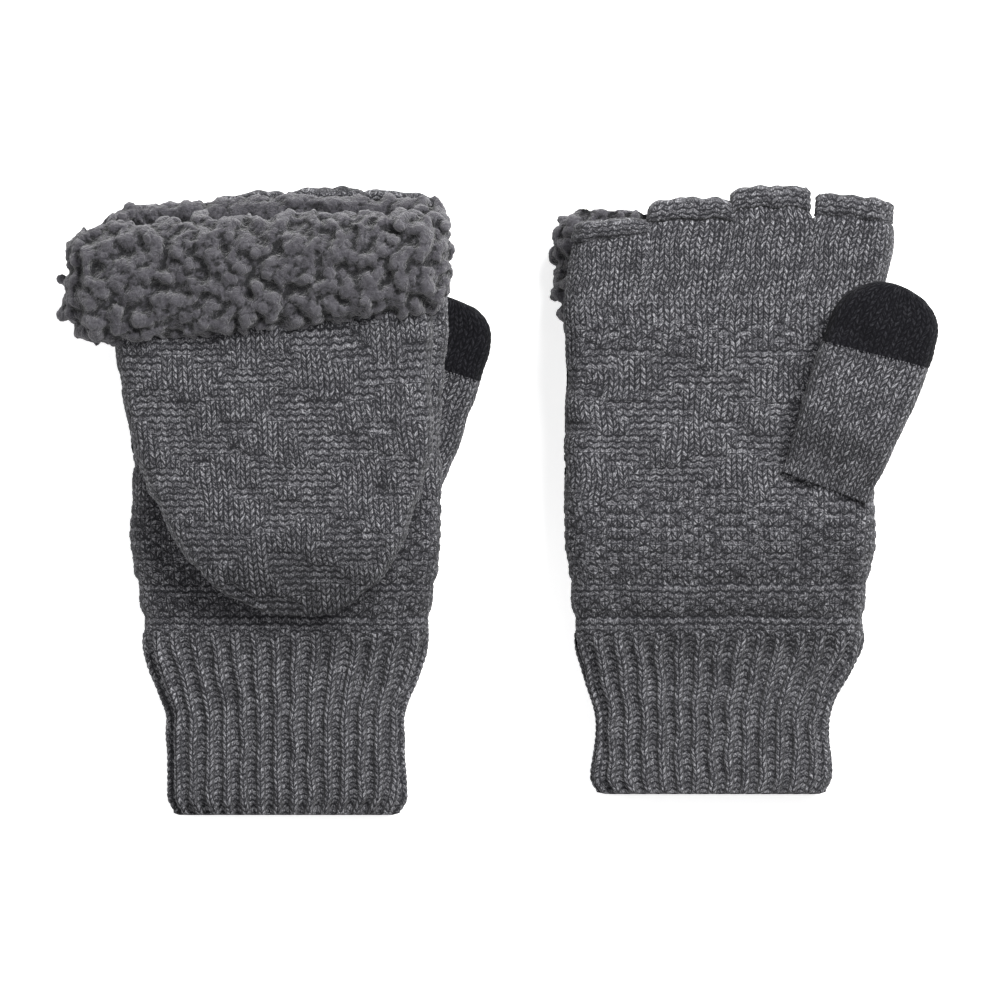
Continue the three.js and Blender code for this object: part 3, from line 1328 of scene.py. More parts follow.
def keep_largest(obj: bpy.types.Object) -> None:
    """Removes loose specks: every part of a mesh that is not joined to its largest part.

    Args:
        obj: The piece.
    """
    mesh = obj.data
    one, two = edge_ends(mesh)
    label = np.arange(len(mesh.vertices))
    while True:
        lowest = np.minimum(label[one], label[two])
        after = label.copy()
        np.minimum.at(after, one, lowest)
        np.minimum.at(after, two, lowest)
        after = after[after]
        if (after == label).all():
            break
        label = after
    loose = label != np.bincount(label).argmax()
    only(obj)
    bpy.ops.object.mode_set(mode="EDIT")
    bpy.ops.mesh.select_mode(type="VERT")
    bpy.ops.mesh.select_all(action="DESELECT")
    bpy.ops.object.mode_set(mode="OBJECT")
    mesh.vertices.foreach_set("select", loose)
    bpy.ops.object.mode_set(mode="EDIT")
    bpy.ops.mesh.delete(type="VERT")
    bpy.ops.object.mode_set(mode="OBJECT")


def hollows(obj: bpy.types.Object, rounds: int = 9) -> Array:
    """How deep each vertex lies between the swellings round it.

    Args:
        obj: The piece.
        rounds: How many times its shape is averaged, which sets the size of a swelling.

    Returns:
        One number for each vertex, in metres: positive in hollows, negative on crests.
    """
    mesh = obj.data
    count = len(mesh.vertices)
    points, normals = vertex_vectors(mesh, "co"), vertex_vectors(mesh, "normal")
    one, two = edge_ends(mesh)
    valence = np.bincount(one, minlength=count) + np.bincount(two, minlength=count)
    even = points.copy()
    for _ in range(rounds):
        total = np.empty_like(even)
        for axis in range(3):
            total[:, axis] = np.bincount(one, even[two, axis], count)
            total[:, axis] += np.bincount(two, even[one, axis], count)
        even = 0.5 * even + 0.5 * total / np.maximum(valence, 1)[:, None]
    return ((even - points) * normals).sum(axis=1)


@dataclass
class Sherpa:
    """The cap's sherpa: the turned-out cuff round its mouth, and its lining."""

    lay: Lay
    cap: Cap
    pile: Pile
    front: float
    lip: float
    low_skirt: float
    low_tuck: float = 0.0
    top_lean: tuple[float, float] = (0.0, 0.0)
    corner_lean: float = 0.0
    lip_arch: float = 0.0
    lip_corner: float = 0.0
    arch_shape: tuple[float, float] = (0.6, 0.26)
    lower_face: tuple[float, float] = (3.0, 9.0)
    start_back: float = 0.3
    pile_room: float = 1.6
    base_lift: float = 1.0
    fold: float = 3.2
    around: int = 96
    rings: int = 18
    lining: float = 1.8
    ease: float = 0.6
    lining_tip: float = -21.0
    lining_wales: int = 56
    lining_gauge: Gauge = Gauge(wale=4.0, course=4.0, columns=5, rows=5, height=0.3)
    clear_share: float = 0.75
    lip_height: float = 6.0
    lip_bare: float = 1.2

    def ends(self) -> tuple[float, float]:
        """Where the cuff's CAD node starts and ends across the mitten."""
        low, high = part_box(f"{self.lay.side.value}_cap_mouth_cuff")
        return low[0] / MM - self.lay.middle, high[0] / MM - self.lay.middle

    def upper(self, h: Array) -> Array:
        """0 on the lip that lies on the hand, 1 on the upper lip."""
        start, end = self.lower_face
        return smooth(h, self.lay.cap_floor + start, self.lay.cap_floor + end)

    def base_row(self, share: float, columns: int) -> tuple[Array, Array, Array]:
        """One ring of the turned-out cuff's cloth.

        Args:
            share: 0 where the cuff is sewn to the knit, 1 at its front fold.
            columns: How many steps there are round it.

        Returns:
            The x, y and h coordinates of the ring.
        """
        left, right = self.ends()
        floor, room = self.lay.cap_floor, self.pile_room
        inner = self.cap.section(self.cap.mouth, self.lining_tip, self.cap.knit + self.ease)
        crown = max(0.0, 1.0 - abs(2.0 * share - 1.0) ** self.fold) ** 0.5
        top = floor + self.lay.cap_depth + self.lay.cuff_proud - room
        section = Section(
            inner.left + (left + room - inner.left) * crown,
            inner.right + (right - room - inner.right) * crown,
            floor + self.base_lift, inner.high + (top - inner.high) * crown,
        )
        x, h, _ = section.ring(columns)
        from_right = np.clip((right - x) / (right - left), 0.0, 1.0)
        x = x + self.low_tuck * (1.0 - self.upper(h)) * crown * from_right
        return x, self.run(x, h, share), h

    def run(self, x: Array, h: Array, share: float) -> Array:
        """Where the cuff's cloth lies along the mitten: it leans, and its low lip is longer.

        Args:
            x: Across the mitten.
            h: Through the layers.
            share: 0 where the cuff is sewn to the knit, 1 at its front fold.

        Returns:
            The places along the mitten.
        """
        left, right = self.ends()
        upper = self.upper(h)
        along = (x - left) / (right - left)
        start = self.cap.mouth - self.start_back - self.low_skirt * (1.0 - along) * upper
        start = start + self.cap.mouth_rise * np.clip(along, 0.0, 1.0) ** 2
        first, last = self.top_lean
        corner = (1.0 - along) ** 2
        lean = (first * (1.0 - along) + last * along) * upper
        arch = self.lip_arch * bell(along, *self.arch_shape) + self.lip_corner * corner
        lean = lean + arch * (1.0 - upper) + self.corner_lean * corner
        end = self.front + lean + self.lip * (1.0 - upper)
        return start + (end - start) * share

    def cuff(self) -> bpy.types.Object:
        """Models the turned-out cuff, thick with clumps of pile.

        Returns:
            The finished object.
        """
        name, count = f"{self.lay.side.value}_cap_mouth_cuff_cloth", self.rings
        shares = np.linspace(0.0, 1.0, count + 1)
        rings = [self.base_row(float(share), self.around) for share in shares]
        inner = self.cap.section(
            self.cap.mouth, self.lining_tip, self.cap.knit + self.ease + self.lining,
        )
        x, h, _ = inner.ring(self.around)
        rings.append((x, self.run(x, h, 0.97), h))
        rings.append((x, self.run(x, h, 0.0), h))
        rings.append(rings[0])
        base = np.array([self.lay.place(*ring) for ring in rings])
        flat = np.zeros(base.shape[:2])
        outside = Cloth(base[:count + 1], *(flat[:count + 1] for _ in range(4)))
        body = weave("pile base", Cloth(base, flat, flat, flat, flat))
        bpy.ops.mesh.primitive_ico_sphere_add(subdivisions=2, radius=1.0)
        beads = self.pile.clumps(outside.points, outside.normals())
        curls = stamped("curls", bpy.context.active_object, self.clear_of_hand(beads))
        return self.fluffed(joined(name, body, curls))

    def clear_of_hand(self, beads: Array) -> Array:
        """Leaves out the beads that would lie in the hand's cloth.

        Args:
            beads: A centre and a radius for each bead, in metres.

        Returns:
            The beads that stay.
        """
        x = beads[:, 0] / MM - self.lay.middle
        y = beads[:, 1] / MM - self.lay.shift_y
        back = self.lay.height(x, y, np.full_like(x, self.lay.hand_thick)) * MM
        over = beads[:, 2] - back if self.lay.back_up else back - beads[:, 2]
        end = self.run(x, self.lay.hand_thick + over / MM, 1.0)
        bare = (over < (self.lay.layer + self.lip_height) * MM) & (y > end - self.lip_bare)
        return beads[(over > self.clear_share * beads[:, 3]) & ~bare]

    def fluffed(self, obj: bpy.types.Object) -> bpy.types.Object:
        """Melts the clumps into one closed, uneven surface.

        Args:
            obj: The base and its beads.

        Returns:
            The same object.
        """
        remesh = obj.modifiers.new("melt", "REMESH")
        remesh.mode = "VOXEL"
        remesh.voxel_size = self.pile.voxel * MM
        remesh.use_smooth_shade = True
        ease = obj.modifiers.new("ease", "SMOOTH")
        ease.factor, ease.iterations = 0.5, 3
        for label, size, strength in self.pile.swellings:
            cells = bpy.data.textures.new(f"pile {label}", "VORONOI")
            cells.noise_scale = size * MM
            rough = obj.modifiers.new(label, "DISPLACE")
            rough.texture, rough.strength, rough.mid_level = cells, -strength * MM, 0.45
        hairs = bpy.data.textures.new("pile hairs", "CLOUDS")
        hairs.noise_scale, hairs.noise_depth = self.pile.hairs * MM, 2
        rough = obj.modifiers.new("hairs", "DISPLACE")
        rough.texture, rough.strength, rough.mid_level = hairs, self.pile.hairs * MM, 0.5
        apply_all(obj)
        keep_largest(obj)
        for vertex in obj.data.vertices:
            vertex.co.z = max(vertex.co.z, TABLE_CLEAR)
        # How deep each point lies in a hollow, kept as relief for the pile's painted shade in hollows
        # and painted highlight on crests.
        depth = hollows(obj)
        low, high = np.percentile(depth, [4.0, 96.0])
        point_values(obj, "relief", 1.0 - np.clip((depth - low) / (high - low), 0.0, 1.0))
        return obj

    def pocket(self) -> bpy.types.Object:
        """Models the lining: a sherpa pocket, its pile towards the hand.

        Returns:
            The finished object.
        """
        inward = self.cap.knit + self.ease
        lumps = Waves(0.25, 6.0, 81)

        def swell(x: Array, y: Array, wales: Array) -> Array:
            """Lumps of pile pressed against the knit."""
            return lumps.at(x, y) - 0.2

        piece = KnitPiece(
            f"{self.lay.side.value}_cap_lining",
            lambda y: self.cap.section(y, self.lining_tip, inward), self.cap.place,
            self.cap.mouth, self.lining_tip, self.lining_wales, Stitch.PURL, wall=self.lining,
            closed=True, crowding=self.cap.crowding, gauge=self.lining_gauge, swell=swell,
        )
        return piece.build()


def joined(name: str, *pieces: bpy.types.Object) -> bpy.types.Object:
    """Joins objects into one.

    Args:
        name: The joined object's name.
        pieces: The objects, which are used up.

    Returns:
        The joined object.
    """
    bpy.ops.object.select_all(action="DESELECT")
    for piece in pieces:
        piece.select_set(True)
    bpy.context.view_layer.objects.active = pieces[0]
    bpy.ops.object.join()
    pieces[0].name = pieces[0].data.name = name
    return pieces[0]


def socket_value(node: bpy.types.Node, name: str, value: object) -> None:
    """Sets one of a node's inputs."""
    node.inputs[name].default_value = value


class Nodes:
    """Places and joins shader nodes in one tree."""

    def __init__(self, tree: bpy.types.NodeTree) -> None:
        """Starts with a tree's own nodes and links.

        Args:
            tree: The material's or group's node tree.
        """
        self.tree = tree

    def add(self, kind: str, **settings: object) -> bpy.types.Node:
        """Adds a node.

        Args:
            kind: The node's type name, without its ShaderNode start.
            settings: Its properties.

        Returns:
            The node.
        """
        node = self.tree.nodes.new(f"ShaderNode{kind}")
        for name, value in settings.items():
            setattr(node, name, value)
        return node

    def link(self, output: bpy.types.NodeSocket, target: bpy.types.NodeSocket) -> None:
        """Joins an output to an input."""
        self.tree.links.new(output, target)

    def feed(self, socket: bpy.types.NodeSocket, value: object) -> None:
        """Gives an input another node's output, or a plain value."""
        if isinstance(value, bpy.types.NodeSocket):
            self.link(value, socket)
        else:
            socket.default_value = value

    def math(self, kind: str, first: object, second: object = 0.0) -> bpy.types.NodeSocket:
        """Adds one sum.

        Args:
            kind: The operation.
            first: A number or an output.
            second: A number or an output.

        Returns:
            The result's socket.
        """
        node = self.add("Math", operation=kind)
        self.feed(node.inputs[0], first)
        self.feed(node.inputs[1], second)
        return node.outputs[0]

    def plus(self, first: object, second: object) -> bpy.types.NodeSocket:
        """Adds two numbers or outputs."""
        return self.math("ADD", first, second)

    def minus(self, first: object, second: object) -> bpy.types.NodeSocket:
        """Takes the second number or output from the first."""
        return self.math("SUBTRACT", first, second)

    def times(self, first: object, second: object) -> bpy.types.NodeSocket:
        """Multiplies two numbers or outputs."""
        return self.math("MULTIPLY", first, second)

    def mirrored(self, value: bpy.types.NodeSocket) -> bpy.types.NodeSocket:
        """1 at both ends of 0 to 1 and 0 half way between them."""
        return self.math("ABSOLUTE", self.minus(self.times(value, 2.0), 1.0))

    def vector(self, x: object, y: object, z: object = 0.0) -> bpy.types.NodeSocket:
        """Puts three numbers or outputs together as one vector."""
        node = self.add("CombineXYZ")
        for socket, value in zip(node.inputs, (x, y, z)):
            self.feed(socket, value)
        return node.outputs[0]

    def noise(self, place: bpy.types.NodeSocket, scale: float, detail: float = 2.0,
              rough: float = 0.5) -> bpy.types.NodeSocket:
        """Adds a noise.

        Args:
            place: Where it is read.
            scale: How fine it is.
            detail: How many finer layers it has.
            rough: How strong those are.

        Returns:
            Its value, about 0 to 1.
        """
        node = self.add("TexNoise")
        self.link(place, node.inputs["Vector"])
        socket_value(node, "Scale", scale)
        socket_value(node, "Detail", detail)
        socket_value(node, "Roughness", rough)
        return node.outputs["Fac"]

    def spread(self, value: bpy.types.NodeSocket, low: float, high: float, to_low: float = 0.0,
               to_high: float = 1.0) -> bpy.types.NodeSocket:
        """Stretches a range of values to another, smoothly.

        Args:
            value: The output to stretch.
            low: What becomes to_low.
            high: What becomes to_high.
            to_low: The new low.
            to_high: The new high.

        Returns:
            The stretched value's socket.
        """
        node = self.add("MapRange", interpolation_type="SMOOTHSTEP")
        self.link(value, node.inputs["Value"])
        for name, number in zip(
            ("From Min", "From Max", "To Min", "To Max"), (low, high, to_low, to_high)
        ):
            socket_value(node, name, number)
        return node.outputs["Result"]

    def mix(self, factor: object, first: object, second: object,
            blend: str = "MIX") -> bpy.types.NodeSocket:
        """Mixes two colours.

        Args:
            factor: How much of the second there is.
            first: A colour or an output.
            second: A colour or an output.
            blend: How they are mixed.

        Returns:
            The mixed colour's socket.
        """
        node = self.add("Mix", data_type="RGBA", blend_type=blend)
        self.feed(node.inputs["Factor"], factor)
        self.feed(node.inputs[6], first)
        self.feed(node.inputs[7], second)
        return node.outputs[2]


def new_group(
    name: str, inputs: dict[str, tuple[str, object]], outputs: dict[str, str],
) -> tuple[bpy.types.NodeTree, Nodes, bpy.types.Node, bpy.types.Node]:
    """Starts a shader node group.

    Args:
        name: The group's name.
        inputs: Each input's name, with its socket type and first value.
        outputs: Each output's name, with its socket type.

    Returns:
        The group, its nodes' helper, its input node and its output node.
    """
    group = bpy.data.node_groups.new(name, "ShaderNodeTree")
    for label, (kind, value) in inputs.items():
        socket = group.interface.new_socket(
            name=label, in_out="INPUT", socket_type=f"NodeSocket{kind}",
        )
        socket.default_value = value
    for label, kind in outputs.items():
        group.interface.new_socket(name=label, in_out="OUTPUT", socket_type=f"NodeSocket{kind}")
    given = group.nodes.new("NodeGroupInput")
    result = group.nodes.new("NodeGroupOutput")
    return group, Nodes(group), given, result


def yarn_group() -> bpy.types.NodeTree:
    """Heathered yarn: flecks that run along each stitch's legs, with painted shade between the strands.

    Returns:
        The node group. Its Shade is a colour, its Fibres a height for a bump.
    """
    group, nodes, given, result = new_group(
        "heathered yarn",
        {
            "Dark": ("Color", (0.03, 0.03, 0.03, 1.0)),
            "Middle": ("Color", (0.1, 0.1, 0.1, 1.0)),
            "Light": ("Color", (0.3, 0.3, 0.3, 1.0)),
            "Flecks": ("Float", 1.0),
            # How strong the painted shade in the gaps between strands is.
            "Depth": ("Float", 0.8),
        },
        {"Shade": "Color", "Fibres": "Float"},
    )
    uv = nodes.add("UVMap", uv_map="stitch")
    apart = nodes.add("SeparateXYZ")
    nodes.link(uv.outputs["UV"], apart.inputs[0])
    wale, course = apart.outputs["X"], apart.outputs["Y"]
    purled = nodes.add("Attribute", attribute_name="purled").outputs["Fac"]
    relief = nodes.add("Attribute", attribute_name="relief").outputs["Fac"]
    place = nodes.vector(wale, course)
    ragged = nodes.minus(nodes.noise(place, 4.6, 2.0, 0.6), 0.5)

    # Across a wale: 1 between two wales, 0 between a stitch's two legs.
    fold = nodes.mirrored(nodes.math("FRACT", wale))
    lean = nodes.minus(Knitting.slant, nodes.times(purled, Knitting.slant + Knitting.arc))
    strand = nodes.minus(course, nodes.times(fold, lean))
    leg = nodes.math("FLOOR", nodes.times(wale, 2.0))

    # Fibres run along each leg, and each leg has its own.
    fibre_place = nodes.vector(nodes.times(wale, 6.5), nodes.times(strand, 3.4), leg)
    fibres = nodes.noise(fibre_place, 1.0, 2.0, 0.65)
    hair = nodes.noise(fibre_place, 1.9, 2.0, 0.6)
    chance = nodes.add("TexWhiteNoise", noise_dimensions="2D")
    nodes.link(nodes.vector(leg, nodes.math("FLOOR", strand)), chance.inputs["Vector"])
    patches = nodes.noise(place, 0.45, 3.0, 0.6)
    uneven = nodes.plus(nodes.times(chance.outputs["Value"], 0.1), nodes.times(patches, 0.04))
    tone = nodes.plus(nodes.times(fibres, 0.86), uneven)
    dark = nodes.spread(tone, 0.53, 0.4)
    glint = nodes.times(nodes.spread(hair, 0.56, 0.74), 0.5)
    light = nodes.math("MINIMUM", nodes.plus(nodes.spread(tone, 0.52, 0.66), glint), 1.0)
    flecks = given.outputs["Flecks"]
    shade = nodes.mix(nodes.times(dark, flecks), given.outputs["Middle"], given.outputs["Dark"])
    shade = nodes.mix(nodes.times(light, flecks), shade, given.outputs["Light"])

    # Painted shade in the gaps beside the legs and under each strand, with ragged edges.
    beside = nodes.plus(nodes.mirrored(fold), nodes.times(ragged, 1.1))
    bent = nodes.plus(strand, nodes.times(ragged, 0.7))
    under = nodes.mirrored(nodes.math("FRACT", bent))
    side_gap = nodes.times(nodes.spread(beside, 0.45, 0.95), nodes.minus(1.0, nodes.times(purled, 0.6)))
    gap = nodes.math("MAXIMUM", side_gap, nodes.spread(under, 0.42, 0.92))
    # More painted shade where the stitch relief is low, and a little more on the recessed purled
    # stitches.
    sunk = nodes.times(nodes.spread(relief, 0.5, 0.0), 0.35)
    sunk = nodes.plus(sunk, nodes.times(purled, 0.1))
    painted_valley_shade = nodes.plus(nodes.times(gap, given.outputs["Depth"]), sunk)
    painted_valley_shade = nodes.math("MINIMUM", painted_valley_shade, 1.0)
    nodes.link(nodes.mix(painted_valley_shade, shade, given.outputs["Dark"]), result.inputs["Shade"])
    height = nodes.plus(nodes.times(fibres, 0.35), nodes.times(hair, 0.2))
    height = nodes.plus(height, nodes.times(nodes.minus(1.0, gap), 0.45))
    nodes.link(height, result.inputs["Fibres"])
    return group


def pile_group() -> bpy.types.NodeTree:
    """Curly pile: with a painted highlight on its clumps and painted shade between them, and fine
    curled fibres.

    Returns:
        The node group. Its Shade is a colour, its Fibres a height for a bump.
    """
    group, nodes, given, result = new_group(
        "curly pile",
        {
            "Dark": ("Color", (0.01, 0.01, 0.01, 1.0)),
            "Middle": ("Color", (0.08, 0.08, 0.08, 1.0)),
            "Light": ("Color", (0.2, 0.2, 0.2, 1.0)),
        },
        {"Shade": "Color", "Fibres": "Float"},
    )
    place = nodes.add("TexCoord").outputs["Object"]
    relief = nodes.add("Attribute", attribute_name="relief").outputs["Fac"]
    stir = nodes.add("TexNoise")
    nodes.link(place, stir.inputs["Vector"])
    socket_value(stir, "Scale", 420.0)
    bend = nodes.add("VectorMath", operation="MULTIPLY_ADD")
    nodes.link(stir.outputs["Color"], bend.inputs[0])
    bend.inputs[1].default_value = (0.0022, 0.0022, 0.0022)
    nodes.link(place, bend.inputs[2])
    curls = nodes.noise(bend.outputs[0], 1150.0, 3.0, 0.65)
    tufts = nodes.noise(place, 210.0, 2.0, 0.5)
    tone = nodes.plus(nodes.times(curls, 0.65), nodes.times(tufts, 0.35))
    light = nodes.spread(tone, 0.48, 0.72)
    shade = nodes.mix(light, given.outputs["Middle"], given.outputs["Light"])
    # Painted highlight on the crests of the clumps, from the relief.
    crest = nodes.spread(relief, 0.55, 0.95, 0.0, 0.35)
    shade = nodes.mix(crest, shade, given.outputs["Light"])
    # Painted shade in the hollows between the clumps.
    painted_valley_shade = nodes.spread(relief, 0.58, 0.16, 0.0, 0.95)
    nodes.link(nodes.mix(painted_valley_shade, shade, given.outputs["Dark"]), result.inputs["Shade"])
    nodes.link(curls, result.inputs["Fibres"])
    return group


@dataclass(frozen=True)
class Finish:
    """A fabric: its darkest colour, for dark yarn flecks and painted shade in its hollows, its colour
    on its fibres, and its lightest, for light flecks and, on the pile, painted highlights on the
    clumps.
    """

    name: str
    slot: str
    dark: tuple[float, float, float]
    middle: tuple[float, float, float]
    light: tuple[float, float, float]
    rough: float
    bump: float
    bump_height: float
    sheen: float
    sheen_rough: float
    shine: float

    def material(self, group: bpy.types.NodeTree, **settings: float) -> bpy.types.Material:
        """Makes the fabric's material.

        Args:
            group: The fabric's node group.
            settings: Its other inputs, by name.

        Returns:
            The material.
        """
        material, nodes, shader = plain_material(self.name, self.rough)
        fabric = nodes.add("Group", node_tree=group)
        for label, colour in (("Dark", self.dark), ("Middle", self.middle), ("Light", self.light)):
            socket_value(fabric, label, (*colour, 1.0))
        for label, value in settings.items():
            socket_value(fabric, label, value)
        nodes.link(fabric.outputs["Shade"], shader.inputs["Base Color"])
        bumped(nodes, shader, fabric.outputs["Fibres"], self.bump, self.bump_height * MM)
        socket_value(shader, "Sheen Weight", self.sheen)
        socket_value(shader, "Sheen Roughness", self.sheen_rough)
        socket_value(shader, "Specular IOR Level", self.shine)
        return material


@dataclass(frozen=True)
class YarnFinish(Finish):
    """A knitting yarn, heathered with flecks, with painted shade between its strands."""

    rough: float = 0.93
    bump: float = 0.45
    bump_height: float = 0.5
    sheen: float = 0.08
    sheen_rough: float = 0.6
    shine: float = 0.15
    flecks: float = 1.0
    # How strong the painted shade in the gaps between strands is.
    depth: float = 0.95

    def dyed(self, group: bpy.types.NodeTree) -> bpy.types.Material:
        """Makes the yarn's material with its flecks and the painted shade in its gaps."""
        return self.material(group, Flecks=self.flecks, Depth=self.depth)


@dataclass(frozen=True)
class PileFinish(Finish):
    """A curly pile fabric."""

    rough: float = 1.0
    bump: float = 0.9
    bump_height: float = 1.2
    sheen: float = 0.3
    sheen_rough: float = 0.5
    shine: float = 0.1

    def dyed(self, group: bpy.types.NodeTree) -> bpy.types.Material:
        """Makes the pile's material."""
        return self.material(group)


def plain_material(name: str, rough: float) -> tuple[bpy.types.Material, Nodes, bpy.types.Node]:
    """Starts a material.

    Args:
        name: The material's name.
        rough: How matt it is.

    Returns:
        The material, its nodes' helper and its shader node.
    """
    material = bpy.data.materials.new(name)
    material.use_nodes = True
    shader = material.node_tree.nodes["Principled BSDF"]
    socket_value(shader, "Roughness", rough)
    return material, Nodes(material.node_tree), shader


def bumped(nodes: Nodes, shader: bpy.types.Node, height: bpy.types.NodeSocket,
           strength: float, distance: float) -> None:
    """Gives a shader fine relief.

    Args:
        nodes: The material's nodes.
        shader: Its shader.
        height: The relief's height.
        strength: How strong it is.
        distance: How high it is, in metres.
    """
    bump = nodes.add("Bump")
    socket_value(bump, "Strength", strength)
    socket_value(bump, "Distance", distance)
    nodes.link(height, bump.inputs["Height"])
    nodes.link(bump.outputs["Normal"], shader.inputs["Normal"])


CHARCOAL = YarnFinish(
    "heathered charcoal yarn", "knit", (0.008, 0.008, 0.01), (0.084, 0.083, 0.092),
    (0.29, 0.29, 0.305),
)
RIB_CHARCOAL = YarnFinish(
    "heathered charcoal rib", "rib_knit", (0.009, 0.009, 0.011), (0.098, 0.097, 0.106),
    (0.29, 0.29, 0.305),
)
TOUCH_BLACK = YarnFinish(
    "black touch yarn", "touch_knit", (0.002, 0.002, 0.003), (0.008, 0.008, 0.01),
    (0.03, 0.03, 0.034), flecks=0.8, depth=0.9, sheen=0.02, shine=0.08,
)
SHERPA_GREY = PileFinish(
    "grey sherpa", "sherpa", (0.005, 0.005, 0.006), (0.042, 0.04, 0.047), (0.1, 0.097, 0.108),
)


@dataclass
class Studio:
    """The pale floor, the soft light and the camera straight above."""

    view_width: float = 1000.0 / 3.0
    camera_height: float = 5000.0
    level: float = 20.0
    sensor: float = 36.0
    floor_size: float = 6.0
    floor_drop: float = 0.0002
    floor_tone: float = 0.92
    floor_glow: float = 0.56
    sky: float = 0.38
    lamps: tuple[tuple[str, tuple[float, float, float], float, float], ...] = (
        ("key", (0.62, 0.8, 1.1), 0.85, 47.0),
        ("fill", (-0.8, -0.3, 1.1), 1.2, 7.0),
    )

    def floor(self) -> None:
        """Lays the floor."""
        bpy.ops.object.select_all(action="DESELECT")
        bpy.ops.mesh.primitive_plane_add(
            size=self.floor_size, location=(0.0, 0.0, -self.floor_drop),
        )
        plane = bpy.context.active_object
        plane.name = "floor"
        material, _, shader = plain_material("pale floor", 0.9)
        socket_value(shader, "Base Color", (*(self.floor_tone,) * 3, 1.0))
        socket_value(shader, "Emission Color", (1.0, 1.0, 1.0, 1.0))
        socket_value(shader, "Emission Strength", self.floor_glow)
        plane.data.materials.append(material)

    def light(self, name: str, place: tuple[float, float, float], size: float,
              power: float) -> None:
        """Hangs one soft lamp, pointed at the middle.

        Args:
            name: The lamp's name.
            place: Where it hangs, in metres.
            size: How large it is, in metres.
            power: Its power in watts.
        """
        data = bpy.data.lights.new(name, "AREA")
        data.shape, data.size, data.energy = "DISK", size, power
        lamp = bpy.data.objects.new(name, data)
        lamp.location = place
        lamp.rotation_euler = (-Vector(place)).to_track_quat("-Z", "Y").to_euler()
        bpy.context.collection.objects.link(lamp)

    def camera(self) -> None:
        """Sets the camera above the middle, the fingers at the top of its view."""
        data = bpy.data.cameras.new("camera")
        data.sensor_width = self.sensor
        data.lens = self.sensor * (self.camera_height - self.level) / self.view_width
        data.clip_end = 50.0
        camera = bpy.data.objects.new("camera", data)
        camera.location = (0.0, 0.0, self.camera_height * MM)
        bpy.context.collection.objects.link(camera)
        bpy.context.scene.camera = camera

    def build(self) -> None:
        """Sets up the whole studio."""
        self.floor()
        for name, place, size, power in self.lamps:
            self.light(name, place, size, power)
        world = bpy.data.worlds.new("studio")
        world.use_nodes = True
        socket_value(world.node_tree.nodes["Background"], "Color", (1.0, 1.0, 1.0, 1.0))
        socket_value(world.node_tree.nodes["Background"], "Strength", self.sky)
        bpy.context.scene.world = world
        bpy.context.scene.view_settings.view_transform = "Standard"
        self.camera()


Sizes = dict[Side, dict[str, float | tuple[float, float]]]

# What differs between the two mittens, by the field that takes it. A thumb leans in degrees.
CUFF_SHIFTS = {Side.LEFT: 0.0, Side.RIGHT: -2.4}
THUMBS: Sizes = {
    Side.LEFT: {"across": 34.2, "along": -0.2, "lean": 17.4, "slant": 0.0},
    Side.RIGHT: {"across": 34.8, "along": 4.0, "lean": 20.5, "slant": 0.11},
}
CAPS: Sizes = {
    Side.LEFT: {"width": 106.0, "middle_at_mouth": -4.5, "drift": 8.4, "mouth_rise": 6.5},
    Side.RIGHT: {"width": 105.5, "middle_at_mouth": 0.9},
}
SHERPAS: Sizes = {
    Side.LEFT: {
        "front": 94.6, "lip": 5.0, "low_skirt": 5.6, "low_tuck": 30.0, "top_lean": (-3.6, 0.4),
        "lip_arch": 2.8, "lip_corner": -2.4,
    },
    Side.RIGHT: {"front": 90.6, "lip": 3.4, "low_skirt": -3.5, "corner_lean": 4.2},
}
PILE_SEEDS = {Side.LEFT: 5, Side.RIGHT: 6}


def as_numbers(point: Array) -> tuple[float, ...]:
    """A point as plain numbers."""
    return tuple(float(value) for value in point)


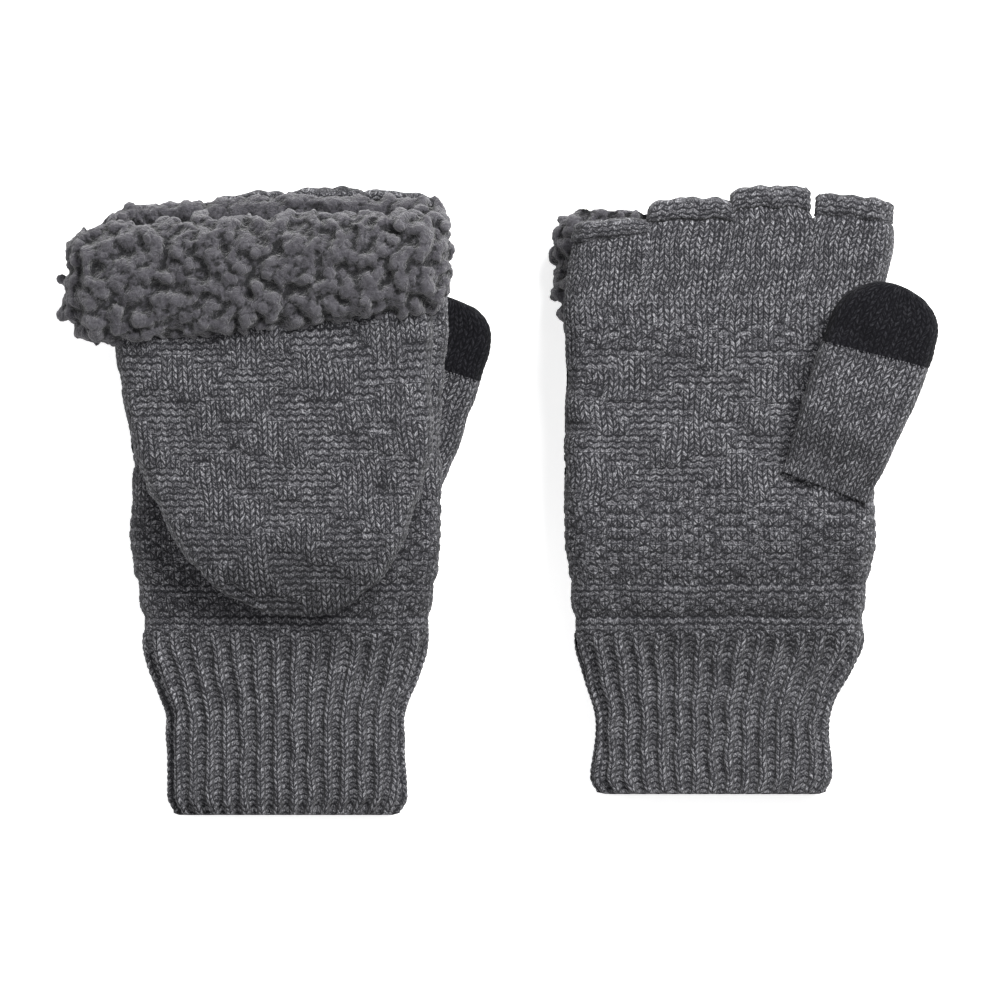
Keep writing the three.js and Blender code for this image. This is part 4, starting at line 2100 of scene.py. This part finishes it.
@dataclass
class Pair:
    """The two mittens: builds each piece, dresses it and ties every piece but the thumb stalls to its
    body.
    """

    hand_fill: float = 0.2
    shell_fill: float = 0.3
    lining_fill: float = 0.5
    cuff_fill: float = 0.8
    stall_middle: float = 80.0
    stall_keep: float = 0.5
    thumb_bend: tuple[float, float] = (-1.0, 12.0)
    materials: dict[str, bpy.types.Material] = field(default_factory=dict)

    def dye(self) -> None:
        """Makes every finish's material."""
        yarn, pile = yarn_group(), pile_group()
        for finish in (CHARCOAL, RIB_CHARCOAL, TOUCH_BLACK):
            self.materials[finish.slot] = finish.dyed(yarn)
        self.materials[SHERPA_GREY.slot] = SHERPA_GREY.dyed(pile)

    def finish(self, piece: bpy.types.Object, slot: str, body: str | None = None) -> None:
        """Dresses a piece, hides the CAD node of its name and ties the piece to its body.

        Args:
            piece: The piece.
            slot: Its material slot.
            body: The body that carries it; without one the piece is tied to no body.
        """
        piece.data.materials.clear()
        piece.data.materials.append(self.materials[slot])
        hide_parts(piece.name.removesuffix("_cloth"))
        if body:
            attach(piece, body)
        LOG.info("%s: %d faces", piece.name, len(piece.data.polygons))

    def mitten(self, side: Side) -> None:
        """Builds one mitten.

        Args:
            side: Which one.
        """
        body, lay = f"{side.value}_mitten", Lay.of(side)
        knit = Mitten(lay, FINGERS[side], CUFF_SHIFTS[side])
        hand = knit.hand()
        self.finish(hand, CHARCOAL.slot, body)
        self.finish(knit.wrist_cuff(), RIB_CHARCOAL.slot, body)
        for finger in FINGER_NAMES:
            for piece in (knit.stall(finger), knit.rim(finger)):
                self.finish(piece, CHARCOAL.slot, body)
                self.tuck_in(piece, lay)
        self.thumb(lay)
        self.cap(lay)

    def tuck_in(self, piece: bpy.types.Object, lay: Lay) -> None:
        """Works out where the back of the hand and its upright stand at the stalls' middle, and gives a
        finger stall its own copy of its mesh.

        Args:
            piece: The stall or its rim.
            lay: Its mitten's lay.
        """
        zero, along = np.array(0.0), np.array(self.stall_middle)
        back = lay.place(zero, along, np.array(lay.hand_thick))
        palm = lay.place(zero, along, zero)
        across = lay.place(zero + 10.0, along, zero) - palm
        upright = np.cross(across, (0.0, 1.0, 0.0))
        upright /= np.linalg.norm(upright)
        as_numbers(upright)
        as_numbers(back)
        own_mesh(piece)

    def thumb(self, lay: Lay) -> None:
        """Builds one thumb.

        Args:
            lay: Its mitten's lay.
        """
        name = lay.side.value
        thumb = Thumb(lay, **THUMBS[lay.side])
        stall = thumb.stall()
        self.finish(stall, CHARCOAL.slot)
        middle = np.array(thumb.thick / 2.0)
        start, end = (
            as_numbers(thumb.place(np.array(0.0), np.array(run), middle))
            for run in self.thumb_bend
        )
        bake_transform(stall)
        self.finish(thumb.tip(), TOUCH_BLACK.slot, f"{name}_thumb")

    def cap(self, lay: Lay) -> None:
        """Builds one cap.

        Args:
            lay: Its mitten's lay.
        """
        body = f"{lay.side.value}_cap"
        cap = Cap(lay, **CAPS[lay.side])
        sherpa = Sherpa(lay, cap, Pile(PILE_SEEDS[lay.side]), **SHERPAS[lay.side])
        for piece, slot, fill in (
            (cap.shell(), CHARCOAL.slot, self.shell_fill),
            (sherpa.pocket(), SHERPA_GREY.slot, self.lining_fill),
            (sherpa.cuff(), SHERPA_GREY.slot, self.cuff_fill),
        ):
            self.finish(piece, slot, body)


def main() -> None:
    """Builds the studio and the pair; the CAD boxes that the pieces replace stay in the scene, hidden.
    """
    logging.basicConfig(level=logging.INFO, format="%(name)s: %(message)s")
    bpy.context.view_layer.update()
    Studio().build()
    pair = Pair()
    pair.dye()
    for side in Side:
        pair.mitten(side)


if __name__ == "__main__":
    main()
